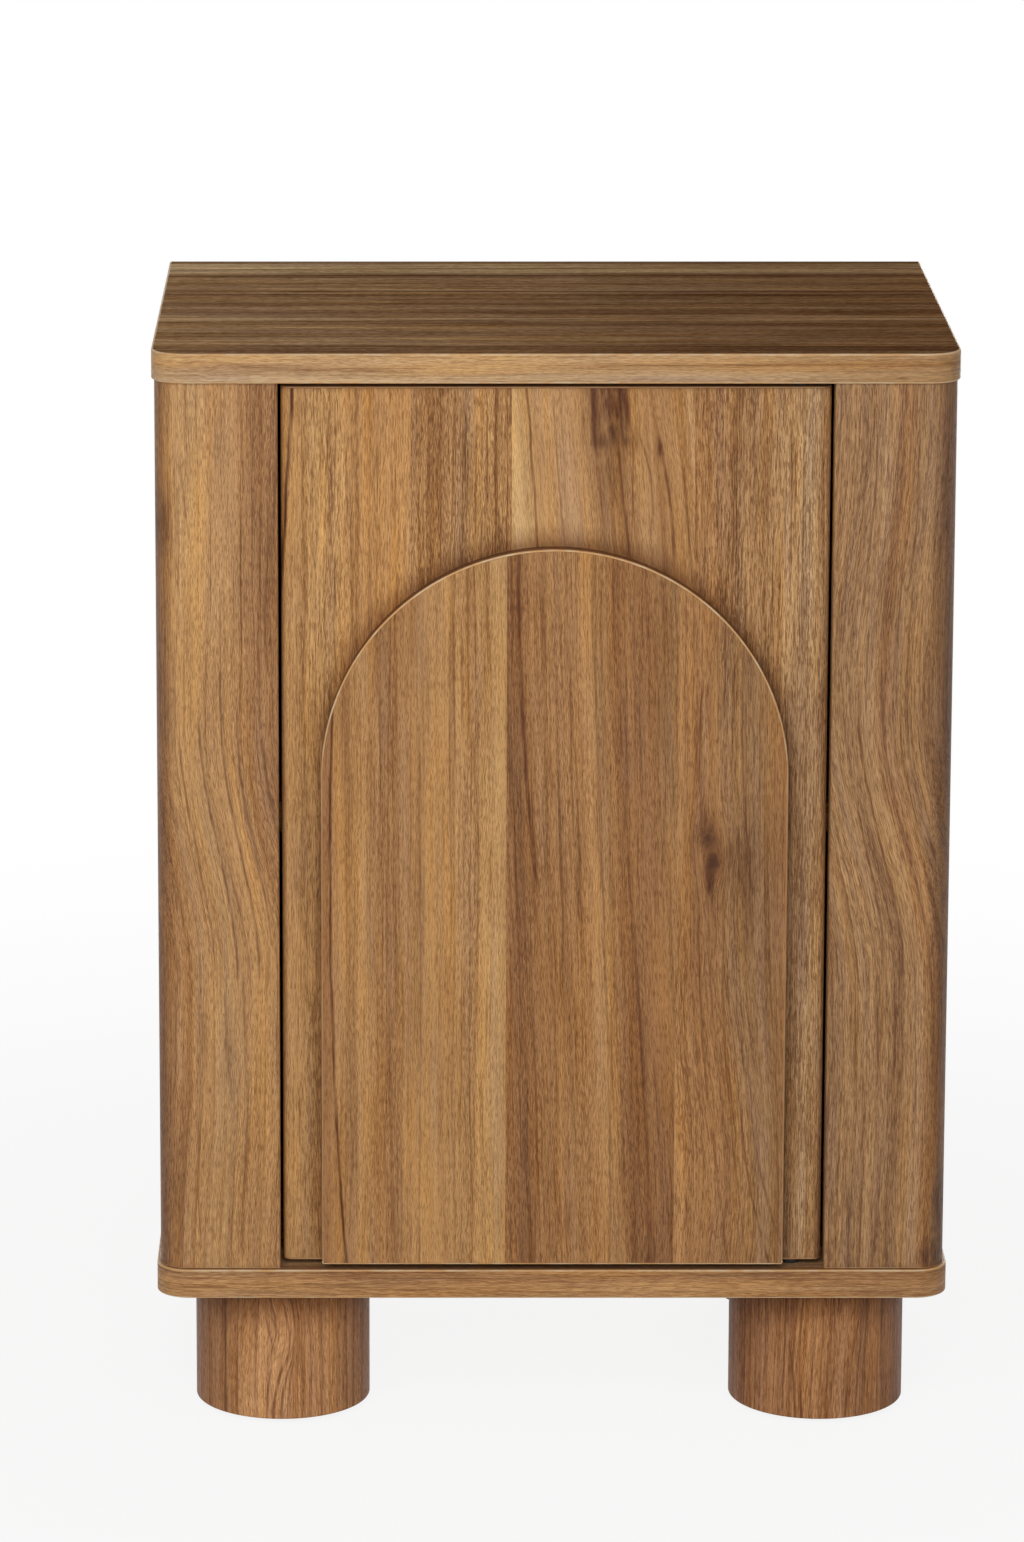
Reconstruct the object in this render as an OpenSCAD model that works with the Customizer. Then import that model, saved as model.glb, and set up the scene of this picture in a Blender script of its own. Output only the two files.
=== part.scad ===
// Bedside cupboard with one inset door, an arched applied panel and four drum feet.
// Millimetres. The origin is the centre of the footprint on the floor:
// +X is to the right, the door faces -Y, and +Z is up.

/* [Overall] */
// Width over the base board
cabinet_w = 430; // [380:5:560]
// Depth of the base and top boards
cabinet_d = 300; // [260:5:400]
// Height from the floor to the top surface
cabinet_h = 600; // [500:5:720]

/* [Boards] */
// Thickness of the carcass boards and the shelf
board_t = 16; // [16:1:22]
// Thickness of the glued edge bands
band_t = 1; // [0.8:0.1:2]
// How far the base board reaches past each side of the carcass
base_overhang = 2; // [1:0.5:10]
// How far the top board reaches past each side of the carcass
top_overhang = 1.5; // [1:0.5:10]
// Plan radius of the front corners of the base and top boards
plank_corner_r = 18; // [8:1:24]

/* [Front stiles] */
// Width of each front stile
stile_w = 65.5; // [50:0.5:80]
// Stile face behind the front edge of the base board
stile_setback = 3; // [2:0.5:6]
// Radius of the outer upright corner of each stile
stile_corner_r = 15; // [6:0.5:15]

/* [Door] */
// Thickness of the door board
door_t = 16; // [16:0.5:20]
// Gap between the door and each stile
door_side_gap = 1.5; // [1.5:0.5:3]
// Gap above and below the door
door_end_gap = 3.1; // [3.1:0.1:5]
// Radius of the upright front edges of the door
door_edge_r = 4.5; // [3:0.5:6]

/* [Arch panel] */
// Thickness of the arch panel, whose face is in line with the board edges
arch_t = 9; // [7:0.5:12]
// From each side edge of the door to the arch panel
arch_side_margin = 21; // [12:1:40]
// From the top edge of the door down to the crown of the arch
arch_top_margin = 86.3; // [50:0.1:120]

/* [Feet] */
// Diameter of a drum foot
foot_d = 96; // [70:1:110]
// Height of the wooden part of a foot
foot_h = 76; // [50:1:110]
// From the side edge of the base board to a foot
foot_side_inset = 19.4; // [18:0.1:40]
// From the front edge of the base board to a front foot
foot_front_inset = 19; // [10:1:40]
// From the back edge of the base board to a rear foot
foot_back_inset = 2; // [1:1:20]
// Thickness of the glide under a foot
glide_t = 3; // [2:0.5:5]
// Glide in from the rim of the foot
glide_inset = 18; // [10:1:25]
// Diameter of the glide's peg
glide_peg_d = 6; // [4:0.5:8]
// Length of the glide's peg
glide_peg_l = 12; // [8:1:20]

/* [Shelf and back] */
// Height of the lower bay, from the base board to the shelf
lower_bay_h = 236; // [150:4:300]
// Gap at each end of the shelf
shelf_end_gap = 1; // [0.5:0.1:2]
// Front of the shelf behind the back face of the door
shelf_setback = 12; // [8:1:60]
// Thickness of the back panel
back_t = 3; // [3:0.5:5]
// Back panel in from the rear edges of the boards
back_inset = 9; // [6:1:20]
// Depth of the grooves that hold the back panel
groove_depth = 5.5; // [4:0.5:7]
// Shelf pin diameter
shelf_pin_d = 5; // [5:0.5:7]
// Length of a shelf pin inside its hole
shelf_pin_in = 9; // [7:0.5:10]
// Length of a shelf pin under the shelf
shelf_pin_out = 9; // [7:0.5:12]
// Thickness of the flat support plate of a shelf pin
shelf_pin_plate_t = 2; // [1.5:0.5:3]
// Shelf pins in from the front and back edges of the shelf
shelf_pin_inset = 50; // [30:1:70]
// Pitch of the rows of shelf pin holes
pin_hole_pitch = 32; // [20:1:40]

/* [Carcass joints] */
// Dowel diameter
dowel_d = 8; // [6:1:9]
// Dowel length
dowel_l = 30; // [25:1:40]
// Wood left behind a dowel in the thickness of a board
dowel_skin = 5; // [4:0.5:6]
// First fastener in from each end of a side panel's edge
joint_inset = 40; // [35:1:60]
// Pitch from that fastener to the dowel beside it
joint_pitch = 32; // [20:1:40]
// First stile dowel from each end of the stile
stile_dowel_inset = 60; // [50:1:100]
// Cam lock diameter
cam_d = 15; // [12:0.5:18]
// Cam lock depth
cam_l = 12.5; // [12:0.5:13]
// Cam lock centre below the top edge of a side panel
cam_drop = 34; // [25:1:40]
// Cam bolt shank diameter
cam_bolt_d = 7; // [6:0.5:7]
// Length of the cam bolt's thread in the top board
cam_thread_l = 11; // [8:0.5:12]
// Base screw shank diameter
base_screw_d = 7; // [5:0.5:7]
// Base screw length
base_screw_l = 50; // [40:1:70]
// Base screw head diameter
base_screw_head_d = 10; // [9:0.5:12]

/* [Foot fixings] */
// Foot bolt diameter
foot_bolt_d = 8; // [6:1:10]
// Length of the foot bolt inside the foot
foot_bolt_l = 35; // [25:1:45]
// Outer diameter of the threaded insert in the base board
insert_d = 11.5; // [11:0.5:14]
// Length of the threaded insert
insert_l = 13; // [10:0.5:14]

/* [Hinge] */
// Hinge pin diameter
hinge_pin_d = 5; // [4:0.5:6]
// Length of a hinge pin inside the door
hinge_pin_l = 30; // [20:1:40]
// Outer diameter of the hinge bush in its board
bush_d = 8; // [7.5:0.5:9]
// Depth of the hinge bush in its board
bush_l = 11; // [8:0.5:12]
// Flange diameter of the hinge bush, a black spacer seen under the door
bush_flange_d = 10.4; // [10:0.1:14]
// Room left between the open arch panel and the stile
swing_gap = 0.5; // [0.5:0.1:2]

/* [Push latch] */
// Latch axis from the free edge of the door
latch_from_edge = 36; // [30:1:60]
// Latch axis below the top board
latch_drop = 13; // [13:1:20]
// Width of the latch housing
latch_w = 14; // [12:1:18]
// Length of the latch housing
latch_l = 70; // [65:1:90]
// Plunger diameter
plunger_d = 8; // [6:0.5:9]
// Plunger length
plunger_l = 45; // [40:1:50]
// How far the plunger travels when it is pressed
plunger_travel = 3; // [2:0.5:5]
// Diameter of the magnet in the plunger
magnet_d = 5; // [4:0.5:5.5]
// Thickness of the magnet
magnet_t = 2; // [1:0.5:4]
// Diameter of the steel strike plate on the door
strike_d = 14; // [12:0.5:18]
// Thickness of the strike plate
strike_t = 1.5; // [1.2:0.1:2]

/* [Small screws] */
// Small screw diameter
screw_d = 3.5; // [3:0.1:4]
// Small screw head diameter
screw_head_d = 6.5; // [6:0.1:7]
// Length of the screws that hold the arch panel
arch_screw_l = 22; // [18:0.5:22]
// Length of the screw in the strike plate
strike_screw_l = 12; // [10:0.5:16]
// Length of the screws in the latch housing
latch_screw_l = 13; // [10:0.5:14]

/* [Fits] */
// Radial clearance round dowels, screws and pressed pins
fit_gap = 0.05; // [0.02:0.01:0.1]
// Radial running clearance of the hinge pins and the plunger
run_gap = 0.06; // [0.04:0.01:0.1]
// Face clearance of the back panel in its groove, and of the hinge bush under the door
face_gap = 0.1; // [0.05:0.05:0.2]
// Extra depth at the blind end of a hole
end_gap = 0.5; // [0.3:0.1:1]

/* [Hidden] */
$fn = 64;
over = 1; // how far a cut runs past the face it leaves
round_fn = 128; // facets of the arch and the feet

// Heights
base_z = glide_t + foot_h;
floor_z = base_z + board_t; // inside floor of the cupboard
ceiling_z = cabinet_h - board_t; // inside ceiling
inner_h = ceiling_z - floor_z;
door_z0 = floor_z + door_end_gap;
door_z1 = ceiling_z - door_end_gap;
shelf_z = floor_z + lower_bay_h;

// Widths
carcass_w = cabinet_w - 2 * base_overhang;
top_w = carcass_w + 2 * top_overhang;
inner_w = carcass_w - 2 * board_t;
side_x = (carcass_w - board_t) / 2; // middle of a side panel's thickness
opening_w = carcass_w - 2 * stile_w;
door_w = opening_w - 2 * door_side_gap;
arch_w = door_w - 2 * arch_side_margin;
arch_r = arch_w / 2;
arch_h = door_z1 - door_z0 - arch_top_margin;

// Depths
front_y = -cabinet_d / 2;
back_y = cabinet_d / 2;
stile_y = front_y + stile_setback; // face of the stiles
side_y0 = stile_y + board_t; // front edge of the side panels
door_y0 = front_y + arch_t; // face of the door
door_y1 = door_y0 + door_t; // back of the door
panel_y1 = back_y - back_inset; // rear face of the back panel
panel_y0 = panel_y1 - back_t;
shelf_y0 = door_y1 + shelf_setback;
shelf_y1 = panel_y0 - shelf_end_gap;

// Hinge axis: far enough from the stile for the arch panel to swing clear of it
hinge_to_stile = door_t / 2 + arch_t + swing_gap;
hinge_x = opening_w / 2 - hinge_to_stile;
hinge_y = door_y0 + door_t / 2;
bush_flange_t = door_end_gap - face_gap;
hinge_pin_out = door_end_gap + bush_l - end_gap; // pin beyond the end of the door

// Carcass joints
cam_ys = [side_y0 + joint_inset, back_y - joint_inset];
edge_dowel_ys = [cam_ys[0] + joint_pitch, cam_ys[1] - joint_pitch];
cam_thread_d = cam_bolt_d - 2;
cam_neck_d = cam_bolt_d / 2;
cam_head_d = cam_bolt_d - 1;
cam_neck_l = 8;
cam_head_l = 3;
dowel_in_board = board_t - dowel_skin;
dowel_in_edge = dowel_l - dowel_in_board;
stile_dowel_zs = [floor_z + stile_dowel_inset, (floor_z + ceiling_z) / 2, ceiling_z - stile_dowel_inset];
stile_end_dowel_x = opening_w / 2 + stile_w / 3; // a third of the way across the stile
stile_mid_y = stile_y + board_t / 2;

// Feet
foot_x = cabinet_w / 2 - foot_side_inset - foot_d / 2;
foot_front_y = front_y + foot_front_inset + foot_d / 2;
foot_back_y = back_y - foot_back_inset - foot_d / 2;
foot_bolt_up = insert_l - 2 * end_gap; // length of the bolt inside the insert
glide_d = foot_d - 2 * glide_inset;

// Shelf pins
pin_ys = [shelf_y0 + shelf_pin_inset, shelf_y1 - shelf_pin_inset];
pin_z = shelf_z - shelf_pin_plate_t - shelf_pin_d / 2;

// Push latch
latch_x = -door_w / 2 + latch_from_edge;
latch_z = ceiling_z - latch_drop;
strike_y = door_y1 + strike_t; // face of the strike plate
plunger_y = strike_y + 2 * face_gap; // tip of the plunger
latch_y = plunger_y + plunger_travel + 2 * face_gap; // front of the housing
latch_h = latch_drop + latch_w / 2;
latch_ear_reach = 10; // each ear past the side of the housing
latch_ear_back = 22; // middle of the ears behind the front of the housing
latch_ear_w = latch_w + 2 * latch_ear_reach;
latch_ear_l = 20;
latch_ear_t = 2.5;
latch_ear_x = (latch_w + latch_ear_reach) / 2; // screw to latch axis
latch_ear_y = latch_y + latch_ear_back;

// Screws in the arch panel
arch_screw_inset = 40; // from each side of the arch panel
arch_screw_rise = 60; // from the foot of the arch panel
arch_screw_x = arch_r - arch_screw_inset;
arch_screw_zs = [door_z0 + arch_screw_rise, door_z0 + arch_h - arch_r];

// Colours
oak_tan = [0.69, 0.53, 0.34];
oak_mid = [0.62, 0.45, 0.28];
walnut = [0.52, 0.36, 0.22];
walnut_top = [0.43, 0.32, 0.22];
edge_tan = [0.73, 0.58, 0.38];
inside_tan = [0.66, 0.52, 0.36];
hardboard = [0.60, 0.46, 0.33];
beech = [0.83, 0.70, 0.50];
steel = [0.72, 0.72, 0.73];
zinc = [0.62, 0.63, 0.65];
black_nylon = [0.08, 0.08, 0.09];
grey_nylon = [0.55, 0.55, 0.56];

// ---- Shapes that repeat ----

// What is cut away outside a rounded corner at the origin of a board that lies towards -X and +Y
module corner_waste(r) {
    difference() {
        translate([-r, -over]) square([r + over, r + over]);
        translate([-r, r]) circle(r);
    }
}

// Plan of a board centred on X, from y0 to y1, with both front corners rounded
module plank_plan(w, y0, y1, r) {
    difference() {
        translate([-w / 2, y0]) square([w, y1 - y0]);
        translate([w / 2, y0]) corner_waste(r);
        mirror([1, 0]) translate([w / 2, y0]) corner_waste(r);
    }
}

// Outline of an arch standing on the X axis, drawn in by inset all round
module arch_outline(inset) {
    straight_h = arch_h - arch_r;
    translate([0, straight_h]) circle(arch_r - inset, $fn = round_fn);
    translate([-arch_r + inset, inset]) square([2 * (arch_r - inset), straight_h - inset]);
}

// Puts its children at both sides of the middle plane
module both_sides() {
    children();
    mirror([1, 0, 0]) children();
}

// A countersunk screw, head flush with the origin, pointing along +Z; grow widens it into its hole
module wood_screw(l, grow = 0) {
    r = screw_d / 2 + grow;
    head_r = screw_head_d / 2 + grow;
    head_h = head_r - r;
    start = grow > 0 ? -over : 0;
    translate([0, 0, start]) cylinder(h = -start + l - screw_d + grow, r = r);
    translate([0, 0, l - screw_d + grow]) cylinder(h = screw_d + (grow > 0 ? end_gap : 0), r1 = r, r2 = r / 5);
    cylinder(h = head_h, r1 = head_r, r2 = r);
    if (grow > 0) translate([0, 0, -over]) cylinder(h = over, r = head_r);
}

// Dowels between the top or base board and one side panel and stile, z at the face of the board
module edge_dowels(z, up, grow = 0) {
    end = grow > 0 ? end_gap : 0;
    low = (up ? dowel_in_board : dowel_in_edge) + end;
    high = (up ? dowel_in_edge : dowel_in_board) + end;
    for (y = edge_dowel_ys) translate([side_x, y, z - low]) cylinder(h = low + high, d = dowel_d + 2 * grow);
    translate([stile_end_dowel_x, stile_mid_y, z - low]) cylinder(h = low + high, d = dowel_d + 2 * grow);
}

// Dowels between one stile and the front edge of its side panel
module stile_dowels(grow = 0) {
    end = grow > 0 ? end_gap : 0;
    for (z = stile_dowel_zs) translate([side_x, side_y0 - dowel_in_board - end, z])
        rotate([-90, 0, 0]) cylinder(h = dowel_l + 2 * end, d = dowel_d + 2 * grow);
}

// Shelf pin holes in the right side panel: a row above and a row below the one in use
module shelf_pin_holes() {
    for (y = pin_ys, row = [-1, 0, 1]) translate([inner_w / 2 - over, y, pin_z + row * pin_hole_pitch])
        rotate([0, 90, 0]) cylinder(h = over + shelf_pin_in + end_gap, d = shelf_pin_d + 2 * fit_gap);
}

// Grooves for the back panel, as one block to cut out of the boards round it
module back_groove() {
    reach = groove_depth;
    translate([-inner_w / 2 - reach, panel_y0 - face_gap, floor_z - reach])
        cube([inner_w + 2 * reach, back_t + 2 * face_gap, inner_h + 2 * reach]);
}

// ---- Top and base ----

module plank_core(w, z) {
    translate([0, 0, z]) linear_extrude(board_t)
        plank_plan(w - 2 * band_t, front_y + band_t, back_y, plank_corner_r - band_t);
}

module plank_band(w, z) {
    translate([0, 0, z]) linear_extrude(board_t) difference() {
        plank_plan(w, front_y, back_y, plank_corner_r);
        plank_plan(w - 2 * band_t, front_y + band_t, back_y + over, plank_corner_r - band_t);
    }
}

module top_board() {
    color(walnut_top) difference() {
        plank_core(top_w, ceiling_z);
        back_groove();
        both_sides() edge_dowels(ceiling_z, false, fit_gap);
        both_sides() for (y = cam_ys) translate([side_x, y, ceiling_z - over])
            cylinder(h = over + cam_thread_l + end_gap, d = cam_thread_d + 2 * fit_gap);
        translate([hinge_x, hinge_y, ceiling_z - over])
            cylinder(h = over + bush_l + end_gap, d = bush_d + 2 * fit_gap);
        latch_screw_places() wood_screw(latch_screw_l, fit_gap);
    }
}

module top_edge_band() {
    color(edge_tan) plank_band(top_w, ceiling_z);
}

module base_board() {
    color(walnut) difference() {
        plank_core(cabinet_w, base_z);
        back_groove();
        both_sides() edge_dowels(floor_z, true, fit_gap);
        both_sides() for (y = cam_ys) translate([side_x, y, base_z]) base_screw(fit_gap);
        translate([hinge_x, hinge_y, floor_z - bush_l - end_gap])
            cylinder(h = over + bush_l + end_gap, d = bush_d + 2 * fit_gap);
        foot_places() translate([0, 0, base_z - over])
            cylinder(h = over + insert_l + end_gap, d = insert_d + 2 * fit_gap);
    }
}

module base_edge_band() {
    color(edge_tan) plank_band(cabinet_w, base_z);
}

// ---- Sides, stiles, back and shelf ----

module side_panel() {
    difference() {
        translate([inner_w / 2, side_y0, floor_z]) cube([board_t, back_y - side_y0, inner_h]);
        back_groove();
        edge_dowels(floor_z, true, fit_gap);
        edge_dowels(ceiling_z, false, fit_gap);
        stile_dowels(fit_gap);
        shelf_pin_holes();
        for (y = cam_ys) {
            translate([side_x, y, base_z]) base_screw(fit_gap);
            translate([side_x, y, ceiling_z - cam_drop - cam_head_l])
                cylinder(h = cam_drop + cam_head_l + over, d = cam_bolt_d + 2 * fit_gap);
            translate([inner_w / 2 - over, y, ceiling_z - cam_drop]) rotate([0, 90, 0])
                cylinder(h = over + cam_l + end_gap, d = cam_d + 2 * fit_gap);
        }
    }
}

module right_side_panel() {
    color(oak_mid) side_panel();
}

module left_side_panel() {
    color(oak_mid) mirror([1, 0, 0]) side_panel();
}

module front_stile() {
    difference() {
        translate([0, 0, floor_z]) linear_extrude(inner_h) difference() {
            translate([opening_w / 2, stile_y]) square([stile_w, board_t]);
            translate([carcass_w / 2, stile_y]) corner_waste(stile_corner_r);
        }
        edge_dowels(floor_z, true, fit_gap);
        edge_dowels(ceiling_z, false, fit_gap);
        stile_dowels(fit_gap);
    }
}

module right_front_stile() {
    color(oak_tan) front_stile();
}

module left_front_stile() {
    color(oak_tan) mirror([1, 0, 0]) front_stile();
}

module back_panel() {
    hold = groove_depth - end_gap;
    color(hardboard) translate([-inner_w / 2 - hold, panel_y0, floor_z - hold])
        cube([inner_w + 2 * hold, back_t, inner_h + 2 * hold]);
}

module shelf() {
    w = inner_w - 2 * shelf_end_gap;
    color(inside_tan) translate([-w / 2, shelf_y0 + band_t, shelf_z])
        cube([w, shelf_y1 - shelf_y0 - band_t, board_t]);
}

module shelf_edge_band() {
    w = inner_w - 2 * shelf_end_gap;
    color(edge_tan) translate([-w / 2, shelf_y0, shelf_z]) cube([w, band_t, board_t]);
}

module shelf_pins() {
    collar_t = shelf_end_gap - 2 * face_gap;
    collar_rim = 1;
    plate_l = shelf_pin_out - collar_t;
    color(steel) both_sides() for (y = pin_ys) translate([inner_w / 2, y, pin_z]) {
        translate([-shelf_pin_out, 0, 0]) rotate([0, 90, 0])
            cylinder(h = shelf_pin_out + shelf_pin_in, d = shelf_pin_d);
        translate([-collar_t, 0, 0]) rotate([0, 90, 0])
            cylinder(h = collar_t, d = shelf_pin_d + 2 * collar_rim);
        translate([-shelf_pin_out, -shelf_pin_d, 0])
            cube([plate_l, 2 * shelf_pin_d, shelf_pin_d / 2 + shelf_pin_plate_t]);
    }
}

// ---- Dowels, cams and base screws ----

module wood_dowels() {
    color(beech) both_sides() {
        edge_dowels(floor_z, true);
        edge_dowels(ceiling_z, false);
        stile_dowels();
    }
}

module cam_locks() {
    slot_w = 1.2;
    slot_l = 0.6 * cam_d;
    slot_t = 2;
    color(zinc) both_sides() for (y = cam_ys) translate([inner_w / 2, y, ceiling_z - cam_drop])
        difference() {
            rotate([0, 90, 0]) cylinder(h = cam_l, d = cam_d);
            translate([board_t / 2, 0, -cam_head_l - end_gap])
                cylinder(h = cam_d, d = cam_bolt_d + 2 * fit_gap);
            for (a = [45, -45]) rotate([a, 0, 0])
                translate([-over, -slot_l / 2, -slot_w / 2]) cube([over + slot_t, slot_l, slot_w]);
        }
}

module cam_bolts() {
    shank_l = cam_drop - cam_neck_l;
    color(steel) both_sides() for (y = cam_ys) translate([side_x, y, ceiling_z]) {
        cylinder(h = cam_thread_l, d = cam_thread_d);
        translate([0, 0, -shank_l]) cylinder(h = shank_l, d = cam_bolt_d);
        translate([0, 0, -cam_drop]) cylinder(h = cam_neck_l, d = cam_neck_d);
        translate([0, 0, -cam_drop - cam_head_l + end_gap]) cylinder(h = cam_head_l, d = cam_head_d);
    }
}

// A stepped base screw, head flush with the origin, pointing along +Z; grow widens it into its hole
module base_screw(grow = 0) {
    head_h = 4;
    start = grow > 0 ? -over : 0;
    end = grow > 0 ? end_gap : 0;
    translate([0, 0, start]) cylinder(h = head_h - start, d = base_screw_head_d + 2 * grow);
    cylinder(h = board_t, d = base_screw_d + 2 * grow);
    cylinder(h = base_screw_l + end, d = base_screw_d - 1 + 2 * grow);
}

module base_screws() {
    key_d = 4 / cos(30); // across the corners of a 4 mm hexagon socket
    key_depth = 3;
    color(steel) both_sides() for (y = cam_ys) translate([side_x, y, base_z]) difference() {
        base_screw();
        translate([0, 0, -over]) cylinder(h = over + key_depth, d = key_d, $fn = 6);
    }
}

// ---- Feet ----

module foot_places() {
    both_sides() for (y = [foot_front_y, foot_back_y]) translate([foot_x, y, 0]) children();
}

module drum_foot(x, y) {
    color(oak_mid) translate([x, y, glide_t]) difference() {
        cylinder(h = foot_h, d = foot_d, $fn = round_fn);
        translate([0, 0, foot_h - foot_bolt_l - end_gap])
            cylinder(h = foot_bolt_l + end_gap + over, d = foot_bolt_d + 2 * fit_gap);
        translate([0, 0, -over]) cylinder(h = over + glide_peg_l + end_gap, d = glide_peg_d + 2 * fit_gap);
    }
}

module front_left_foot() {
    drum_foot(-foot_x, foot_front_y);
}

module front_right_foot() {
    drum_foot(foot_x, foot_front_y);
}

module rear_left_foot() {
    drum_foot(-foot_x, foot_back_y);
}

module rear_right_foot() {
    drum_foot(foot_x, foot_back_y);
}

module foot_bolts() {
    color(steel) foot_places() translate([0, 0, base_z - foot_bolt_l])
        cylinder(h = foot_bolt_l + foot_bolt_up, d = foot_bolt_d);
}

module foot_inserts() {
    color(zinc) foot_places() translate([0, 0, base_z]) difference() {
        cylinder(h = insert_l, d = insert_d);
        translate([0, 0, -over]) cylinder(h = insert_l + 2 * over, d = foot_bolt_d + 2 * fit_gap);
    }
}

module foot_glides() {
    color(grey_nylon) foot_places() {
        cylinder(h = glide_t, d = glide_d);
        cylinder(h = glide_t + glide_peg_l, d = glide_peg_d);
    }
}

// ---- Door ----

// Plan of the door with its upright front edges rounded
module door_plan() {
    plank_plan(door_w, door_y0, door_y1, door_edge_r);
}

// The hole in the door for the pin at each end
module hinge_pin_holes() {
    for (z = [door_z0 - over, door_z1 - hinge_pin_l - end_gap]) translate([hinge_x, hinge_y, z])
        cylinder(h = over + hinge_pin_l + end_gap, d = hinge_pin_d + 2 * fit_gap);
}

module door_board() {
    color(oak_tan) difference() {
        translate([0, 0, door_z0 + band_t]) linear_extrude(door_z1 - door_z0 - 2 * band_t) door_plan();
        hinge_pin_holes();
        arch_screw_places() wood_screw(arch_screw_l, fit_gap);
        strike_screw_place() wood_screw(strike_screw_l, fit_gap);
    }
}

module door_edge_bands() {
    color(edge_tan) difference() {
        for (z = [door_z0, door_z1 - band_t]) translate([0, 0, z]) linear_extrude(band_t) door_plan();
        hinge_pin_holes();
    }
}

module arch_panel() {
    color(walnut) difference() {
        translate([0, door_y0, door_z0]) rotate([90, 0, 0]) linear_extrude(arch_t) arch_outline(band_t);
        arch_screw_places() wood_screw(arch_screw_l, fit_gap);
    }
}

module arch_edge_band() {
    color(edge_tan) translate([0, door_y0, door_z0]) rotate([90, 0, 0]) linear_extrude(arch_t) difference() {
        arch_outline(0);
        arch_outline(band_t);
    }
}

// Screw places in the back of the door, pointing forwards
module arch_screw_places() {
    both_sides() for (z = arch_screw_zs) translate([arch_screw_x, door_y1, z]) rotate([90, 0, 0]) children();
}

module arch_screws() {
    color(steel) arch_screw_places() wood_screw(arch_screw_l);
}

// ---- Hinge ----

// A flanged bush, flange on top, in a hole that goes down from the origin
module hinge_bush() {
    difference() {
        union() {
            translate([0, 0, -bush_l]) cylinder(h = bush_l + bush_flange_t, d = bush_d);
            cylinder(h = bush_flange_t, d = bush_flange_d);
        }
        translate([0, 0, -bush_l - over])
            cylinder(h = bush_l + bush_flange_t + 2 * over, d = hinge_pin_d + 2 * run_gap);
    }
}

module lower_hinge_bush() {
    color(black_nylon) translate([hinge_x, hinge_y, floor_z]) hinge_bush();
}

module upper_hinge_bush() {
    color(black_nylon) translate([hinge_x, hinge_y, ceiling_z]) mirror([0, 0, 1]) hinge_bush();
}

module lower_hinge_pin() {
    color(steel) translate([hinge_x, hinge_y, door_z0 - hinge_pin_out])
        cylinder(h = hinge_pin_out + hinge_pin_l, d = hinge_pin_d);
}

module upper_hinge_pin() {
    color(steel) translate([hinge_x, hinge_y, door_z1 - hinge_pin_l])
        cylinder(h = hinge_pin_out + hinge_pin_l, d = hinge_pin_d);
}

// ---- Push latch ----

// Screw place on the face of the strike plate, pointing forwards
module strike_screw_place() {
    translate([latch_x, strike_y, latch_z]) rotate([90, 0, 0]) children();
}

module strike_plate() {
    color(steel) difference() {
        translate([latch_x, strike_y, latch_z]) rotate([90, 0, 0]) cylinder(h = strike_t, d = strike_d);
        strike_screw_place() wood_screw(strike_screw_l, fit_gap);
    }
}

module strike_screw() {
    color(steel) strike_screw_place() wood_screw(strike_screw_l);
}

// Screw places under the housing's ears, pointing up into the top board
module latch_screw_places() {
    for (side = [-1, 1]) translate([latch_x + side * latch_ear_x, latch_ear_y, ceiling_z - latch_ear_t])
        children();
}

module latch_housing() {
    bore_l = plunger_travel + plunger_l + 2 * end_gap;
    color(grey_nylon) difference() {
        union() {
            translate([latch_x - latch_w / 2, latch_y, ceiling_z - latch_h])
                cube([latch_w, latch_l, latch_h]);
            translate([latch_x - latch_ear_w / 2, latch_ear_y - latch_ear_l / 2, ceiling_z - latch_ear_t])
                cube([latch_ear_w, latch_ear_l, latch_ear_t]);
        }
        translate([latch_x, latch_y - over, latch_z]) rotate([-90, 0, 0])
            cylinder(h = over + bore_l, d = plunger_d + 2 * run_gap);
        latch_screw_places() wood_screw(latch_screw_l, fit_gap);
    }
}

module latch_plunger() {
    color(black_nylon) translate([latch_x, plunger_y, latch_z]) rotate([-90, 0, 0]) difference() {
        cylinder(h = plunger_l, d = plunger_d);
        translate([0, 0, -over]) cylinder(h = over + magnet_t, d = magnet_d + 2 * fit_gap);
    }
}

module latch_magnet() {
    color(steel) translate([latch_x, plunger_y, latch_z]) rotate([-90, 0, 0])
        cylinder(h = magnet_t, d = magnet_d);
}

module latch_screws() {
    color(steel) latch_screw_places() wood_screw(latch_screw_l);
}

top_board();
top_edge_band();
base_board();
base_edge_band();
left_side_panel();
right_side_panel();
left_front_stile();
right_front_stile();
back_panel();
shelf();
shelf_edge_band();
shelf_pins();
wood_dowels();
cam_locks();
cam_bolts();
base_screws();
front_left_foot();
front_right_foot();
rear_left_foot();
rear_right_foot();
foot_bolts();
foot_inserts();
foot_glides();
lower_hinge_bush();
upper_hinge_bush();
lower_hinge_pin();
upper_hinge_pin();
door_board();
door_edge_bands();
arch_panel();
arch_edge_band();
arch_screws();
strike_plate();
strike_screw();
latch_housing();
latch_plunger();
latch_magnet();
latch_screws();
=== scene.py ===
"""A bedside cupboard in wood-look laminate: one inset door with an arched panel, on four drum feet.

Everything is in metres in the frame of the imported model: +X right, the door faces -Y, +Z up, and the
origin is the centre of the footprint on the floor. The wood is worked out in millimetres.
"""
import functools
import math

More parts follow.
